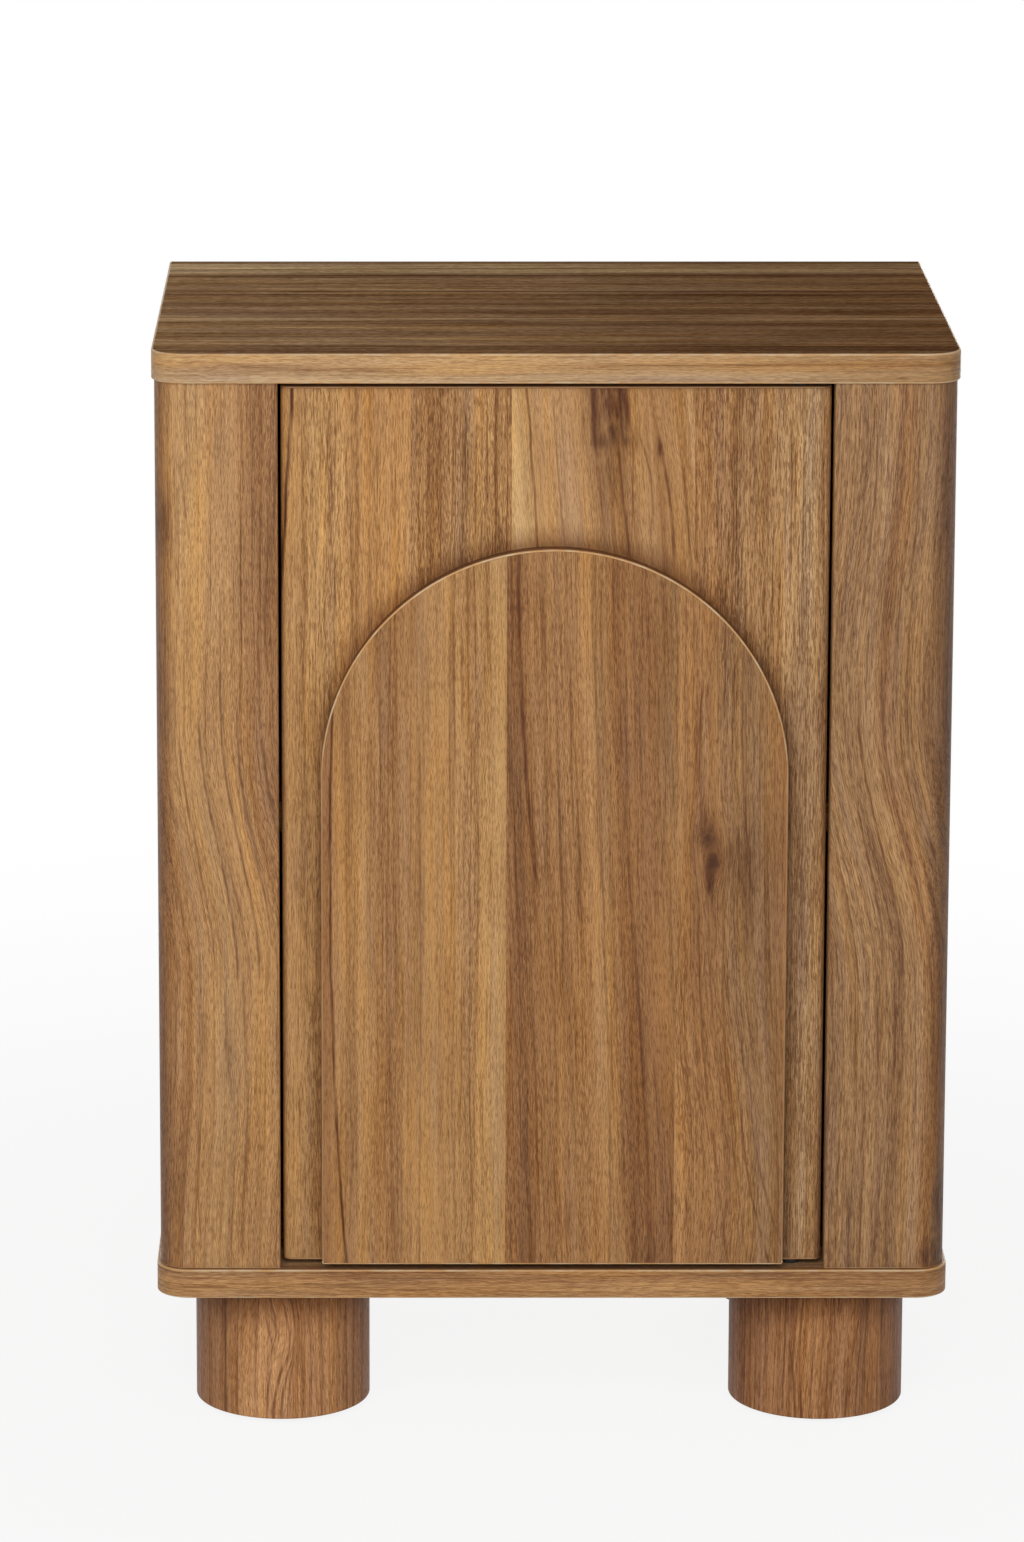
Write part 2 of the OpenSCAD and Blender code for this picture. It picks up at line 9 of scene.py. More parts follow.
import bmesh
import bpy
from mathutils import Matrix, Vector


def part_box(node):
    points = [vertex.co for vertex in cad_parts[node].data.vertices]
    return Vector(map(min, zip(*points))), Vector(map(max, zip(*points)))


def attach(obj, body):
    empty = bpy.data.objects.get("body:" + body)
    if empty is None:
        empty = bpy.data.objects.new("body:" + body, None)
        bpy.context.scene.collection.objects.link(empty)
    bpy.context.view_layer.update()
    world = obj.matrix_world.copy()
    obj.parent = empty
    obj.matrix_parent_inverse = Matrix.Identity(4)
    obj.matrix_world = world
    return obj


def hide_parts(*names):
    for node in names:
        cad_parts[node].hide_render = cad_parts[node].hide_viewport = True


MM = 0.001
WHITE = (1.0, 1.0, 1.0, 1.0)

# Where the photograph was taken from
PHOTO_HEIGHT_PX = 1542
CAMERA_PLACE = (-0.0798, -3.498, 1.2)
CAMERA_PITCH = 0.2061  # radians below level
CAMERA_FOCUS_PX = 6453.9  # focal length in pixels of the photograph
CAMERA_SHIFT = (0.0692, -0.15)
CAMERA_REACH = 100.0
SENSOR = 36.0  # millimetres along the long side

# The floor and the light on it
FLOOR_HALF = 40.0  # half of its side
FLOOR_GAP = 0.2 * MM  # how far it lies below the feet
FLOOR_GREY = 0.8
FLOOR_GLOW = 0.88  # share of plain white in it beside the cupboard
FLOOR_FADE = (0.3, 1.3)  # distance from the origin over which that share grows to 1
WORLD_LEVEL = 0.2  # the even light from all round
SOFTBOXES = {  # name: (place, (width, height), the point it faces, watts)
    "front_softbox": ((-0.45, -2.1, 1.3), (2.1, 1.4), (-0.15, 0, 0.33), 37),
    "right_softbox": ((1.9, -1.6, 0.9), (0.8, 1.0), (0, -0.1, 0.36), 3),
    "rear_softbox": ((0.4, 2.2, 0.6), (1.6, 1.0), (0, 0, 0.3), 22),
}

# Shape of the pieces that are modelled here
BAND = 1 * MM  # thickness of the edge bands
PLANK_CORNER = 18 * MM  # plan radius of the front corners of the top and base
STILE_CORNER = 15 * MM  # outer upright corner of a stile
SMALL_CORNER = 1.2 * MM  # plan radius of a corner that looks square
END_ROUND = 0.5 * MM  # rounding at the ends of a stile
TRIM_ROUND = 0.8 * MM  # rounding of a trimmed edge band
ARCH_ROUND = 0.9 * MM  # front edge of the arched panel
FOOT_ROUND = 0.9 * MM  # bottom edge of a foot
TIGHT_ROUND = 0.1 * MM  # an edge that lies against another piece
SUPPORT = 0.25 * MM  # a loop this far from a rounding keeps the flat beside it flat
ROUND_STEPS = 5
FOOT_STEPS = 180  # sides of a foot's circle
LARGE_RADIUS = 50 * MM  # a plan corner above this radius is drawn in finer steps
ARC_STEP_DEG, SMALL_ARC_STEP_DEG = 2.0, 5.0
SHARP_DEG = 40  # edges of modelled pieces sharper than this are not smoothed over
FLAT, TRIM = 0, 1  # material slots of a modelled piece: its surface, and its trimmed edges

# Softening of the edges of the nodes that keep their own shape
WELD = 0.01 * MM
BEVEL_SEGMENTS = 3
BEVEL_ABOVE_DEG = 50


# ---- Node trees ----


class Signal:
    """One output in a material's node tree. Arithmetic on it adds Math nodes."""

    def __init__(self, socket):
        self.socket = socket

    def math(self, operation, *others):
        node = new_node(self.socket.id_data, "Math")
        node.operation = operation
        feed(node, dict(enumerate((self, *others))))
        return Signal(node.outputs[0])

    __add__ = __radd__ = functools.partialmethod(math, "ADD")
    __sub__ = functools.partialmethod(math, "SUBTRACT")
    __mul__ = functools.partialmethod(math, "MULTIPLY")
    __truediv__ = functools.partialmethod(math, "DIVIDE")

    def step(self, low, high):
        """0 below low, 1 above high and smooth between; low may be the larger one."""
        node = new_node(self.socket.id_data, "MapRange")
        node.interpolation_type = "SMOOTHSTEP"
        feed(node, {"Value": self, "From Min": min(low, high), "From Max": max(low, high),
                    "To Min": float(low > high), "To Max": float(low <= high)})
        return Signal(node.outputs[0])

    def bell(self, centre, width):
        """1 at centre, falling to 0 like a bell curve of that half width."""
        away = (self - centre) / width
        return (away * away * -1.0).math("EXPONENT")


def new_node(tree, kind):
    return tree.nodes.new("ShaderNode" + kind)


def feed(node, inputs):
    """Links signals to a node's inputs, or sets their own values, by name or number."""
    for key, value in inputs.items():
        socket = node.inputs[key]
        if isinstance(value, Signal):
            node.id_data.links.new(value.socket, socket)
        else:
            socket.default_value = value


def strongest(signals):
    """The largest of some signals at each point."""
    return functools.reduce(lambda one, other: one.math("MAXIMUM", other), signals)


class Surface:
    """One material under construction: a Principled shader and the nodes in front of it."""

    def __init__(self, name):
        self.material = bpy.data.materials.new(name)
        self.material.use_nodes = True
        self.tree = self.material.node_tree
        self.tree.nodes.clear()
        self.shader = new_node(self.tree, "BsdfPrincipled")
        feed(new_node(self.tree, "OutputMaterial"), {"Surface": Signal(self.shader.outputs[0])})
        split = new_node(self.tree, "SeparateXYZ")
        feed(split, {0: Signal(new_node(self.tree, "TexCoord").outputs["Object"])})
        self.xyz = [Signal(socket) * (1 / MM) for socket in split.outputs]  # at rest, in millimetres

    def noise(self, x, y, z, detail=2.0, roughness=0.5):
        """Noise whose features are about one unit of x, y and z in size, from 0 to 1."""
        join = new_node(self.tree, "CombineXYZ")
        feed(join, {0: x, 1: y, 2: z})
        node = new_node(self.tree, "TexNoise")
        feed(node, {"Vector": Signal(join.outputs[0]), "Scale": 1.0, "Detail": detail,
                    "Roughness": roughness})
        return Signal(node.outputs["Fac"])

    def speckle(self, size, detail=2.0, roughness=0.5, tall=None):
        """Noise with features of that size, and of another height where tall is given."""
        x, y, z = self.xyz
        return self.noise(x / size, y / size, z / (tall or size), detail, roughness)

    def ramp(self, value, stops):
        """A colour for each value, from stops of (value, colour)."""
        low, high = stops[0][0], stops[-1][0]
        node = new_node(self.tree, "ValToRGB")
        feed(node, {0: (value - low) / (high - low)})
        elements = node.color_ramp.elements
        while len(elements) < len(stops):
            elements.new(0.5)
        for element, (at, _) in zip(elements, stops):
            element.position = (at - low) / (high - low)
        for element, (_, colour) in zip(elements, stops):
            element.color = colour
        return Signal(node.outputs["Color"])

    def blend(self, amount, below, above, how="MIX"):
        """Colour above over colour below, by an amount that is kept between 0 and 1."""
        node = new_node(self.tree, "Mix")
        node.data_type = "RGBA"
        node.blend_type = how
        feed(node, {0: amount, 6: below, 7: above})
        return Signal(node.outputs[2])

    def finish(self, colour, roughness, height, depth, specular=0.5, metallic=0.0):
        """Sets the shader; height is a relief of that depth in millimetres."""
        bump = new_node(self.tree, "Bump")
        feed(bump, {"Distance": depth * MM, "Height": height})
        feed(self.shader, {"Base Color": colour, "Roughness": roughness, "Specular IOR Level": specular,
                           "Metallic": metallic, "Normal": Signal(bump.outputs[0])})
        return self.material


def rgb(red, green, blue):
    """A display colour of 0 to 255 as a linear one."""

    def linear(value):
        value /= 255
        return value / 12.92 if value <= 0.04045 else ((value + 0.055) / 1.055) ** 2.4

    return (linear(red), linear(green), linear(blue), 1.0)


def grey(value):
    return (value, value, value, 1.0)


# ---- Wood ----

LIGHT = rgb(213, 172, 117)
PALE = rgb(216, 175, 118)
STRAW = rgb(205, 160, 104)
TAN = rgb(197, 150, 96)
SAND = rgb(199, 154, 105)
AMBER = rgb(199, 148, 91)
MID = rgb(181, 134, 86)
BROWN = rgb(165, 118, 74)
UMBER = rgb(148, 101, 65)
DARK = rgb(124, 86, 53)
MID_GREY = rgb(183, 142, 97)
GREY_BROWN = rgb(169, 129, 87)
BAND_TONE = rgb(208, 173, 128)
TRIM_TONE = rgb(206, 180, 142)
VEIN = rgb(88, 46, 28)
KNOT = rgb(72, 44, 30)
KNOT_HALO = rgb(108, 66, 40)

# What a full streak or stain multiplies the colour under it by; DARK_TINT also darkens the painted shades
DARK_TINT = (0.46, 0.365, 0.31, 1.0)
LIGHT_TINT = (1.34, 1.39, 1.45, 1.0)
WARM_TINT = (1.05, 1.0, 0.86, 1.0)
COOL_TINT = (0.95, 0.98, 1.12, 1.0)
STAIN_TINT = (0.34, 0.25, 0.24, 1.0)

STAVE_STEP = 1000.0  # how far apart the staves lie on the ramp of tones
STAVE_OFFSET = 5.3  # how far apart they lie in the noise
FOOT_SEED, FOOT_SEED_STEP = 2.9, 3.7
WOOD_RELIEF = 0.05  # millimetres
PAINTED_RIM_SHADE_INSIDE = 0.35  # how far the painted shadow round an arched panel reaches in under it, as a share of its reach
FRONT_FACE = (-130, -135)  # depths between which that painted shadow sets in, so the back stays clear
RING_OFFSET = 7.31  # how far apart the growth lines lie in the noise
RING_DRIFT = 2.4  # how far they drift along the board, in gaps
RING_LENGTH = 160  # millimetres over which one comes and goes
RING_SOFT, RING_SHARP, RING_END = (0.3, 0.97), (0.88, 0.96), (1.0, 0.97)  # its profile across the gap
STAIN_WAVER = 4.0  # how far the edge of a stain wavers, in millimetres
VEIN_FOLLOW = 0.25  # how much of the grain's wandering a vein follows
VEIN_WAVER = 1.6  # how far it wavers itself, in millimetres
VEIN_FADE = 8  # half of the length over which it fades out
KNOT_PARTS = (3, 6, 0.8)  # how far the grain parts across and along, in knot sizes, and how much
KNOT_WAVER = 3.0  # how far its outline wavers, in knot sizes
KNOT_LENGTH = 1.5  # its length over its width
KNOT_RAGGED = 1.6

# Layers of noise: width across the grain and length along it in millimetres, a number that keeps the
# layer apart from the others, and where they aren't the usual ones the detail and its roughness
WANDER = (75, 260, 3.1)
SWAY = (18, 90, 7.7)
WAVE = (5, 17, 8.8)
CLOUD = (30, 170, 2.2)
BROAD = (5.5, 380, 11.3, 3, 0.6)
FINE = (1.6, 70, 5.9, 4, 0.85)
HAIR = (0.36, 8, 19.1)
VESSEL = (1.1, 120, 27.7, 1)
WARMTH = (7, 120, 51.3)
RING_PLACE = (22, 500, 23.5)
DASH = (0.32, 4.6, 31.7, 1)
CROWD = (9, 120, 41.9)
STAIN_EDGE = (9, 30, 71.9)
STAIN_GRAIN = (3, 14, 67.3)
VEIN_PLACE = (4, 16, 57.1)
VEIN_GAPS = (2, 40, 63.9, 1)
KNOT_ACROSS = (5, 9, 83.3)
KNOT_ALONG = (4, 7, 91.7)
KNOT_EDGE = (2.2, 4.5, 61.1)

# How layers darken and lighten the wood: the noise values between which each sets in, and how much it
# counts on plain wood and how much more on busy wood
DARKENING = (
    (CLOUD, (0.6, 0.3), 0.2, 0.0),
    (BROAD, (0.54, 0.3), 0.34, 0.0),
    (FINE, (0.51, 0.34), 0.12, 0.75),
    (HAIR, (0.5, 0.25), 0.2, 0.2),
    (VESSEL, (0.38, 0.28), 0.0, 0.6),
)
LIGHTENING = (
    (BROAD, (0.54, 0.72), 0.35, 0.0),
    (FINE, (0.51, 0.68), 0.2, 0.5),
    (HAIR, (0.5, 0.75), 0.4, 0.0),
)
WARM_FROM, COOL_FROM = (0.5, 0.68), (0.5, 0.32)
DARKEST = 0.95
CROWDED, PORE_FROM = (0.34, 0.66), (0.58, 0.65)
EYE = ((KNOT_HALO, (4.2, 0.6), 0.45), (KNOT, (1.9, 0.2), 0.85))  # colour, from and to in sizes, amount


def parabola(z0, x0, z1, x1, z2, x2):
    """The curve c0 + c1 z + c2 z z through three points (z, x)."""
    slope = (x1 - x0) / (z1 - z0)
    c2 = ((x2 - x0) / (z2 - z0) - slope) / (z2 - z1)
    c1 = slope - c2 * (z0 + z1)
    return x0 - c1 * z0 - c2 * z0 * z0, c1, c2


class Board(Surface):
    """A wood material while it is drawn, layer by layer, on its colour and its relief.

    a and b are the millimetres across and along the grain, and depth those through it. flow is the
    place across that the grain comes from, and waved is flow with its finest waves.
    """

    def __init__(self, name, across, along, through, staves, seed, wrap, polar):
        super().__init__(name)
        if polar:
            x, y, radius = polar
            self.a = (self.xyz[0] - x).math("ARCTAN2", (self.xyz[1] - y) * -1.0) * radius
        else:
            self.a = self.xyz[across]
        self.b, self.depth = self.xyz[along], self.xyz[through]
        self.seed, self.wrap, self.polar = seed, wrap, polar
        self.number, self.lean = 0.0, staves[0][1]
        for (start, lean, _), before in zip(staves[1:], staves):
            past = self.a.math("GREATER_THAN", start)
            self.number = past + self.number
            self.lean = past * (lean - before[1]) + self.lean
        self.piece = self.number * STAVE_OFFSET + seed

    def grain(self, layer, place=None):
        """A layer of noise, laid out by the place across or by another one."""
        wide, long, offset, *texture = layer
        if place is None:
            place = self.a
        second = self.piece
        if not self.polar:
            second = self.depth / (long if self.wrap else wide) + second
        return self.noise(place / wide + (self.seed + offset), second, self.b / long, *texture)

    def tint(self, amount, tint):
        self.colour = self.blend(amount, self.colour, tint, "MULTIPLY")

    def cover(self, amount, colour):
        self.colour = self.blend(amount, self.colour, colour)

    def lay_grain(self, pivot, sway, wave, bends, drifts, knots):
        """Where the grain wanders, leans over and flows round knots."""
        a, b = self.a, self.b
        self.tilt = (b - pivot) * self.lean
        wander = (self.grain(WANDER) - 0.5) * (2 * sway) + (self.grain(SWAY) - 0.5) * (0.5 * sway) + self.tilt
        self.swing = 0.0
        for start, end, shift in bends:
            self.swing = b.step(start, end) * shift + self.swing
        wander = wander - self.swing
        for place_a, place_b, half_w, half_l, shift in drifts:
            wander = wander - a.bell(place_a, half_w) * b.bell(place_b, half_l) * shift
        for place_a, place_b, size in knots:
            across, along, push = KNOT_PARTS
            near = a.bell(place_a, across * size) * b.bell(place_b, along * size)
            wander = wander + (a - place_a) * near * -push
        self.wander = wander
        self.flow = a + wander
        self.waved = self.flow + (self.grain(WAVE) - 0.5) * (2 * wave)

    def paint_staves(self, staves):
        """The tone of each stave, and how busy its figure is."""
        shelf = self.flow + self.number * STAVE_STEP
        stops = [(at + index * STAVE_STEP, tone, grey(figure))
                 for index, (_, _, tones) in enumerate(staves) for at, tone, figure in tones]
        self.colour = self.ramp(shelf, [(at, tone) for at, tone, _ in stops])
        self.busy = self.ramp(shelf, [(at, figure) for at, _, figure in stops])

    def shade(self, painted_shades, painted_rim_shade):
        """Painted shade: darkens parts of the board slowly, whatever the grain does.

        With a rim it also paints the shadow that an arched panel casts on the face round it.
        """
        # painted shade: each entry darkens the wood where less light falls on it
        for amount, *limits in painted_shades:
            for axis, start, end in limits:
                amount = self.xyz[axis].step(start, end) * amount
            self.tint(amount, DARK_TINT)
        # painted shadow that the arched panel casts on the face round it
        if painted_rim_shade:
            radius, centre, reach, amount = painted_rim_shade
            above = (self.b - centre).math("MAXIMUM", 0.0)
            away = (self.a * self.a + above * above).math("SQRT") - radius
            deep = away.step(reach, -PAINTED_RIM_SHADE_INSIDE * reach) * self.depth.step(*FRONT_FACE) * amount
            self.tint(deep, DARK_TINT)

    def streaks(self, streak, fibre):
        """The tone changes slowly along the board, and in long soft streaks across it."""
        noise = {layer: self.grain(layer, self.flow) for layer in (CLOUD, BROAD)}
        noise.update((layer, self.grain(layer, self.waved)) for layer in (FINE, HAIR, VESSEL))
        self.hair = noise[HAIR]

        def total(table):
            amount = 0.0
            for layer, limits, plain, busy in table:
                part = noise[layer].step(*limits) * (self.busy * busy + plain)
                amount = (part * fibre if layer is HAIR else part) + amount
            return amount

        dark = total(DARKENING)
        self.tint((dark * (1.2 * streak)).math("MINIMUM", DARKEST), DARK_TINT)
        self.tint(total(LIGHTENING) * streak, LIGHT_TINT)
        warm = self.grain(WARMTH, self.flow)
        self.tint(warm.step(*WARM_FROM), WARM_TINT)
        self.tint(warm.step(*COOL_FROM), COOL_TINT)
        self.height = dark * -0.25

    def growth_lines(self, strength, gap):
        """Lines that are soft on one side and sharp on the other."""
        count = self.flow / gap + (self.grain(RING_PLACE, self.flow) - 0.5) * RING_DRIFT
        turn = count.math("FRACT")
        level = count.math("FLOOR") * RING_OFFSET + self.seed
        chosen = self.noise(level, 0.5, self.b / RING_LENGTH, detail=1).step(0.4, 0.6)
        growth = (turn.step(*RING_SOFT) * 0.3 + turn.step(*RING_SHARP) * 0.7) * turn.step(*RING_END)
        growth = growth * (chosen * 0.75 + 0.25) * (self.hair * 0.9 + 0.5) * strength
        self.tint(growth, DARK_TINT)
        self.height = self.height - growth * 0.3

    def add_pores(self, strength):
        """Short dark dashes along the grain, close together in some bands."""
        crowd = self.grain(CROWD, self.flow).step(*CROWDED)
        self.pore = (self.grain(DASH, self.waved) + crowd * 0.06 + self.busy * 0.07).step(*PORE_FROM)
        self.tint(self.pore * (self.busy * 0.45 + 0.45) * strength, DARK_TINT)
        self.height = self.height - self.pore

    def add_stains(self, stains):
        """Dark patches whose edges waver with the grain."""
        place = self.a + (self.waved - self.flow) + (self.grain(STAIN_EDGE) - 0.5) * STAIN_WAVER
        mottle = self.grain(STAIN_GRAIN, self.waved) * 2.6 - 0.3
        for place_a, place_b, half_w, half_l, strength in stains:
            patch = place.bell(place_a, half_w) * self.b.bell(place_b, half_l) * strength
            self.tint(patch * mottle, STAIN_TINT)

    def add_veins(self, veins):
        """Thin dark lines, and the soft shades beside them."""
        b = self.b
        place = self.a + (self.wander - self.tilt) * VEIN_FOLLOW + (self.grain(VEIN_PLACE) - 0.5) * VEIN_WAVER
        place = place - self.swing * (1 - VEIN_FOLLOW)
        uneven = (self.hair * 0.8 + 0.6) * (self.grain(VEIN_GAPS).step(0.25, 0.6) * 0.7 + 0.3)
        square = b * b
        lines, sides = [], []
        for *points, width, strength, shade in veins:
            c0, c1, c2 = parabola(*points)
            off = place - b.math("MULTIPLY_ADD", c1, square.math("MULTIPLY_ADD", c2, c0))
            top, low = points[0], points[4]
            span = b.step(top + VEIN_FADE, top - VEIN_FADE) * b.step(low - VEIN_FADE, low + VEIN_FADE)
            lines.append(off.math("ABSOLUTE").step(1.8 * width, 0.2 * width) * span * strength)
            if shade:
                sides.append(off.step(0, 0.08 * shade) * off.step(shade, 0) * span * (0.3 * strength))
        if sides:
            self.tint(strongest(sides), DARK_TINT)
        self.cover(strongest(lines) * uneven, VEIN)

    def add_knots(self, knots):
        """Eyes with a ragged edge and a soft halo, longer along the grain than across it."""
        for place_a, place_b, size in knots:
            waver = KNOT_WAVER * size
            across = (self.a - place_a + (self.grain(KNOT_ACROSS) - 0.5) * waver) / size
            along = (self.b - place_b + (self.grain(KNOT_ALONG) - 0.5) * waver) / (size * KNOT_LENGTH)
            ragged = (self.grain(KNOT_EDGE) - 0.5) * KNOT_RAGGED
            reach = (across * across + along * along).math("SQRT") + ragged
            for colour, limits, amount in EYE:
                self.cover(reach.step(*limits) * amount, colour)


def wood(name, across, along, through, staves, seed, pivot=300.0, wrap=False, polar=None, sway=5.0, wave=0.6,
         bends=(), drifts=(), knots=(), stains=(), veins=(), ring=0.0, ring_gap=11.0, streak=1.0, pores=1.0,
         fibre=1.0, painted_shades=(), painted_rim_shade=None, gloss=0.14):
    """Wood-look laminate whose grain runs along one axis. Lengths are millimetres.

    across, along and through are axis numbers. Each stave is (start, lean, tones): it runs from its
    start to the next one's, its grain moves over by lean for each millimetre down from pivot, and its
    tones are (place, colour, figure), where figure says how streaky the wood is there. seed sets one
    board's noise apart from another's. wrap stretches the grain along the third axis too, for an edge
    band that turns a corner, and polar (x, y, radius) measures across round an upright cylinder.

    sway and wave are how far the grain wanders, slowly and in small waves. A bend (from, to, shift)
    moves it sideways between two places along it. A drift (across, along, half width, half length,
    shift) pushes it aside locally, and a knot (across, along, size) is an eye that it flows round.

    A stain (across, along, half width, half length, strength) is a dark patch. A vein is a thin dark
    line through three points: (along, across, along, across, along, across, width, strength, shade),
    where shade is the width of a soft shade on one side. Its points are given as they lie without the
    bends. ring is the strength of the growth lines and ring_gap their spacing. streak, pores and fibre
    scale the streaks, the pores and the finest marks. A painted shade (amount, (axis, from, to), ...)
    darkens the wood slowly from one place to another, where it does so along each of its axes, and
    stands in for shade that the light would give there. The painted rim shade (radius, height of the
    crown's centre, reach, amount) paints the shadow of an arched panel on the front face round it.
    """
    board = Board(name, across, along, through, staves, seed, wrap, polar)
    board.lay_grain(pivot, sway, wave, bends, drifts, knots)
    board.paint_staves(staves)
    board.shade(painted_shades, painted_rim_shade)
    board.streaks(streak, fibre)
    if ring:
        board.growth_lines(ring, ring_gap)
    board.add_pores(pores)
    if stains:
        board.add_stains(stains)
    if veins:
        board.add_veins(veins)
    board.add_knots(knots)
    roughness = 0.46 + board.pore * 0.14 - board.hair * 0.06
    return board.finish(board.colour, roughness, board.height, depth=WOOD_RELIEF, specular=gloss)


def one_board(*tones):
    """A board of a single stave, from (place, colour, figure)."""
    return [(tones[0][0], 0.0, tones)]


def mirrored(staves):
    return [(start, lean, [(-at, tone, figure) for at, tone, figure in reversed(tones)])
            for start, lean, tones in staves]


# Tones, veins and stains of each piece, in millimetres across and along its grain
DOOR_WOOD = [
    (-147, 0.0, [(-141, TAN, 0.3), (-138, LIGHT, 0.1), (-134, LIGHT, 0.3), (-131, STRAW, 0.4),
                 (-127, STRAW, 0.8), (-112, TAN, 0.7), (-104, AMBER, 0.4), (-80, AMBER, 0.4)]),
    (-77, 0.0, [(-77, TAN, 0.9), (-64, MID, 1.0), (-55, TAN, 0.9), (-44, MID_GREY, 0.9), (-34, TAN, 0.9),
                (-24, TAN, 0.8)]),
    (-23.3, 0.08, [(-22, STRAW, 0.0), (-19, LIGHT, 0.0), (-14, LIGHT, 0.0), (-12, SAND, 0.1),
                   (14, SAND, 0.15), (20, TAN, 0.3), (26, MID, 0.4), (32, MID, 0.4), (39, TAN, 0.3),
                   (56, MID, 0.15), (72, TAN, 0.4)]),
    (74, 0.0, [(74, MID, 0.8), (84, MID, 1.0), (104, MID_GREY, 0.9), (118, TAN, 0.8), (134, BAND_TONE, 0.8),
               (150, MID, 0.8)]),
]
DOOR_VEINS = [
    (600, -138.5, 540, -141.8, 440, -149, 0.9, 1.0, -5), (600, -17.5, 540, -12.5, 480, -8.5, 0.7, 0.8, 0),
    (600, -3, 545, 0.3, 490, 5.5, 0.5, 0.4, 3), (600, 19.3, 565, 19.5, 546, 21, 1.1, 0.8, 5),
    (600, 35.5, 575, 36.5, 556, 40.5, 1.3, 0.6, -4), (550, 32.5, 525, 35.5, 490, 39.5, 0.7, 0.75, -7),
    (560, 40.5, 535, 41, 500, 40.5, 0.5, 0.6, 0), (555, 44, 535, 49.5, 505, 51, 0.5, 0.5, 2),
    (556, 54, 532, 58.5, 490, 63, 0.7, 0.75, 3), (548, 66, 520, 69, 490, 71, 0.5, 0.4, 0),
    (600, 74, 545, 74.5, 480, 75, 0.5, 0.4, 0), (600, -48, 560, -48, 530, -48.5, 0.6, 0.6, 0),
    (560, -42, 540, -42.5, 510, -42, 0.5, 0.5, 0), (600, -64, 540, -65, 470, -64, 0.5, 0.4, 0),
]
DOOR_STAINS = [
    (28, 578, 10, 25, 1.05), (20, 566, 1.8, 20, 0.7), (36.5, 567, 2.5, 14, 0.7), (31, 556, 4, 4.5, 0.6),
    (24, 551, 3.5, 3.5, 0.5), (34, 552, 5, 3, 0.45), (41.5, 551, 4, 5, 0.5), (29, 530, 5, 22, 0.4),
    (54.8, 547, 1.4, 5, 1.0), (14.5, 560, 0.8, 12, 0.5), (-30.5, 505, 1.2, 8, 0.5),
]
ARCH_WOOD = [
    (-126, 0.0, [(-122, BROWN, 0.2), (-118, MID, 0.3), (-112, TAN, 0.3), (-100, TAN, 0.4), (-94, MID, 0.5),
                 (-91, MID, 0.7), (-85, MID, 0.5), (-82, TAN, 0.3), (-75, MID, 0.3), (-71, TAN, 0.2),
                 (-60, TAN, 0.2), (-50, TAN, 0.5), (-40, TAN, 0.6), (-34, STRAW, 0.4), (-28, STRAW, 0.2)]),
    (-25.7, 0.03, [(-22, BROWN, 0.6), (-14, BROWN, 0.6), (-4, MID, 0.5), (6, MID, 0.6), (18, MID, 0.5),
                   (27, TAN, 0.3), (30, BROWN, 0.6), (42, BROWN, 0.7), (47, BROWN, 0.4), (56, BROWN, 0.5),
                   (68, GREY_BROWN, 0.5)]),
    (65.5, 0.0, [(68, MID, 0.6), (78, BROWN, 0.3), (83, MID, 0.6), (98, GREY_BROWN, 0.6),
                 (110, GREY_BROWN, 0.4), (124, BROWN, 0.4)]),
]
ARCH_VEINS = [
    (430, -117.8, 300, -120.2, 80, -110, 0.7, 1.0, -5), (420, -93.5, 390, -93.3, 350, -93, 0.5, 0.5, 0),
    (430, -88, 300, -89.5, 90, -84, 0.8, 0.35, 0), (400, -72.5, 250, -71.5, 90, -72, 0.5, 0.45, -3),
    (510, -19.5, 400, -17, 312, -9, 1.0, 0.9, 5), (510, -7, 470, -6, 425, -5.5, 1.4, 0.4, 0),
    (430, 8, 360, 9.5, 295, 13, 0.5, 0.5, 2), (500, 21, 380, 23, 290, 27, 0.5, 0.4, 3),
    (285, 26, 220, 29.5, 90, 30, 0.6, 0.5, 5), (395, 38, 370, 38.5, 345, 38, 0.6, 0.5, 0),
    (290, 43, 200, 48.5, 90, 53.5, 1.0, 0.5, -7), (240, -11, 170, -9, 90, -10, 0.6, 0.45, 0),
    (420, 78.5, 385, 77.5, 340, 79.5, 0.5, 0.8, 2), (450, 101, 380, 100.5, 310, 106, 0.6, 0.5, -3),
    (410, 89, 375, 88.5, 345, 90, 0.5, 0.4, 0), (290, 77, 200, 81, 90, 94, 0.6, 0.5, 3),
    (300, 91, 200, 92, 90, 104, 0.6, 0.4, 3), (190, 99, 140, 104, 90, 119, 0.6, 0.6, 3),
    (175, 106, 140, 112, 110, 122, 0.6, 0.55, 3),
]
ARCH_STAINS = [
    (84, 330, 2.2, 16, 0.7), (96, 325, 11, 24, 0.45), (104, 318, 6, 30, 0.3), (80.5, 345, 1.2, 12, 0.9),
    (84, 312, 2.5, 12, 0.7), (-19, 355, 4, 60, 0.35), (57, 430, 8, 50, 0.25), (45, 160, 5, 60, 0.25),
]
LEFT_STILE_WOOD = one_board(
    (-220, MID, 0.5), (-208, TAN, 0.4), (-194, STRAW, 0.3), (-184, TAN, 0.5), (-174, TAN, 0.4),
    (-160, MID, 0.7), (-140, MID, 0.6))
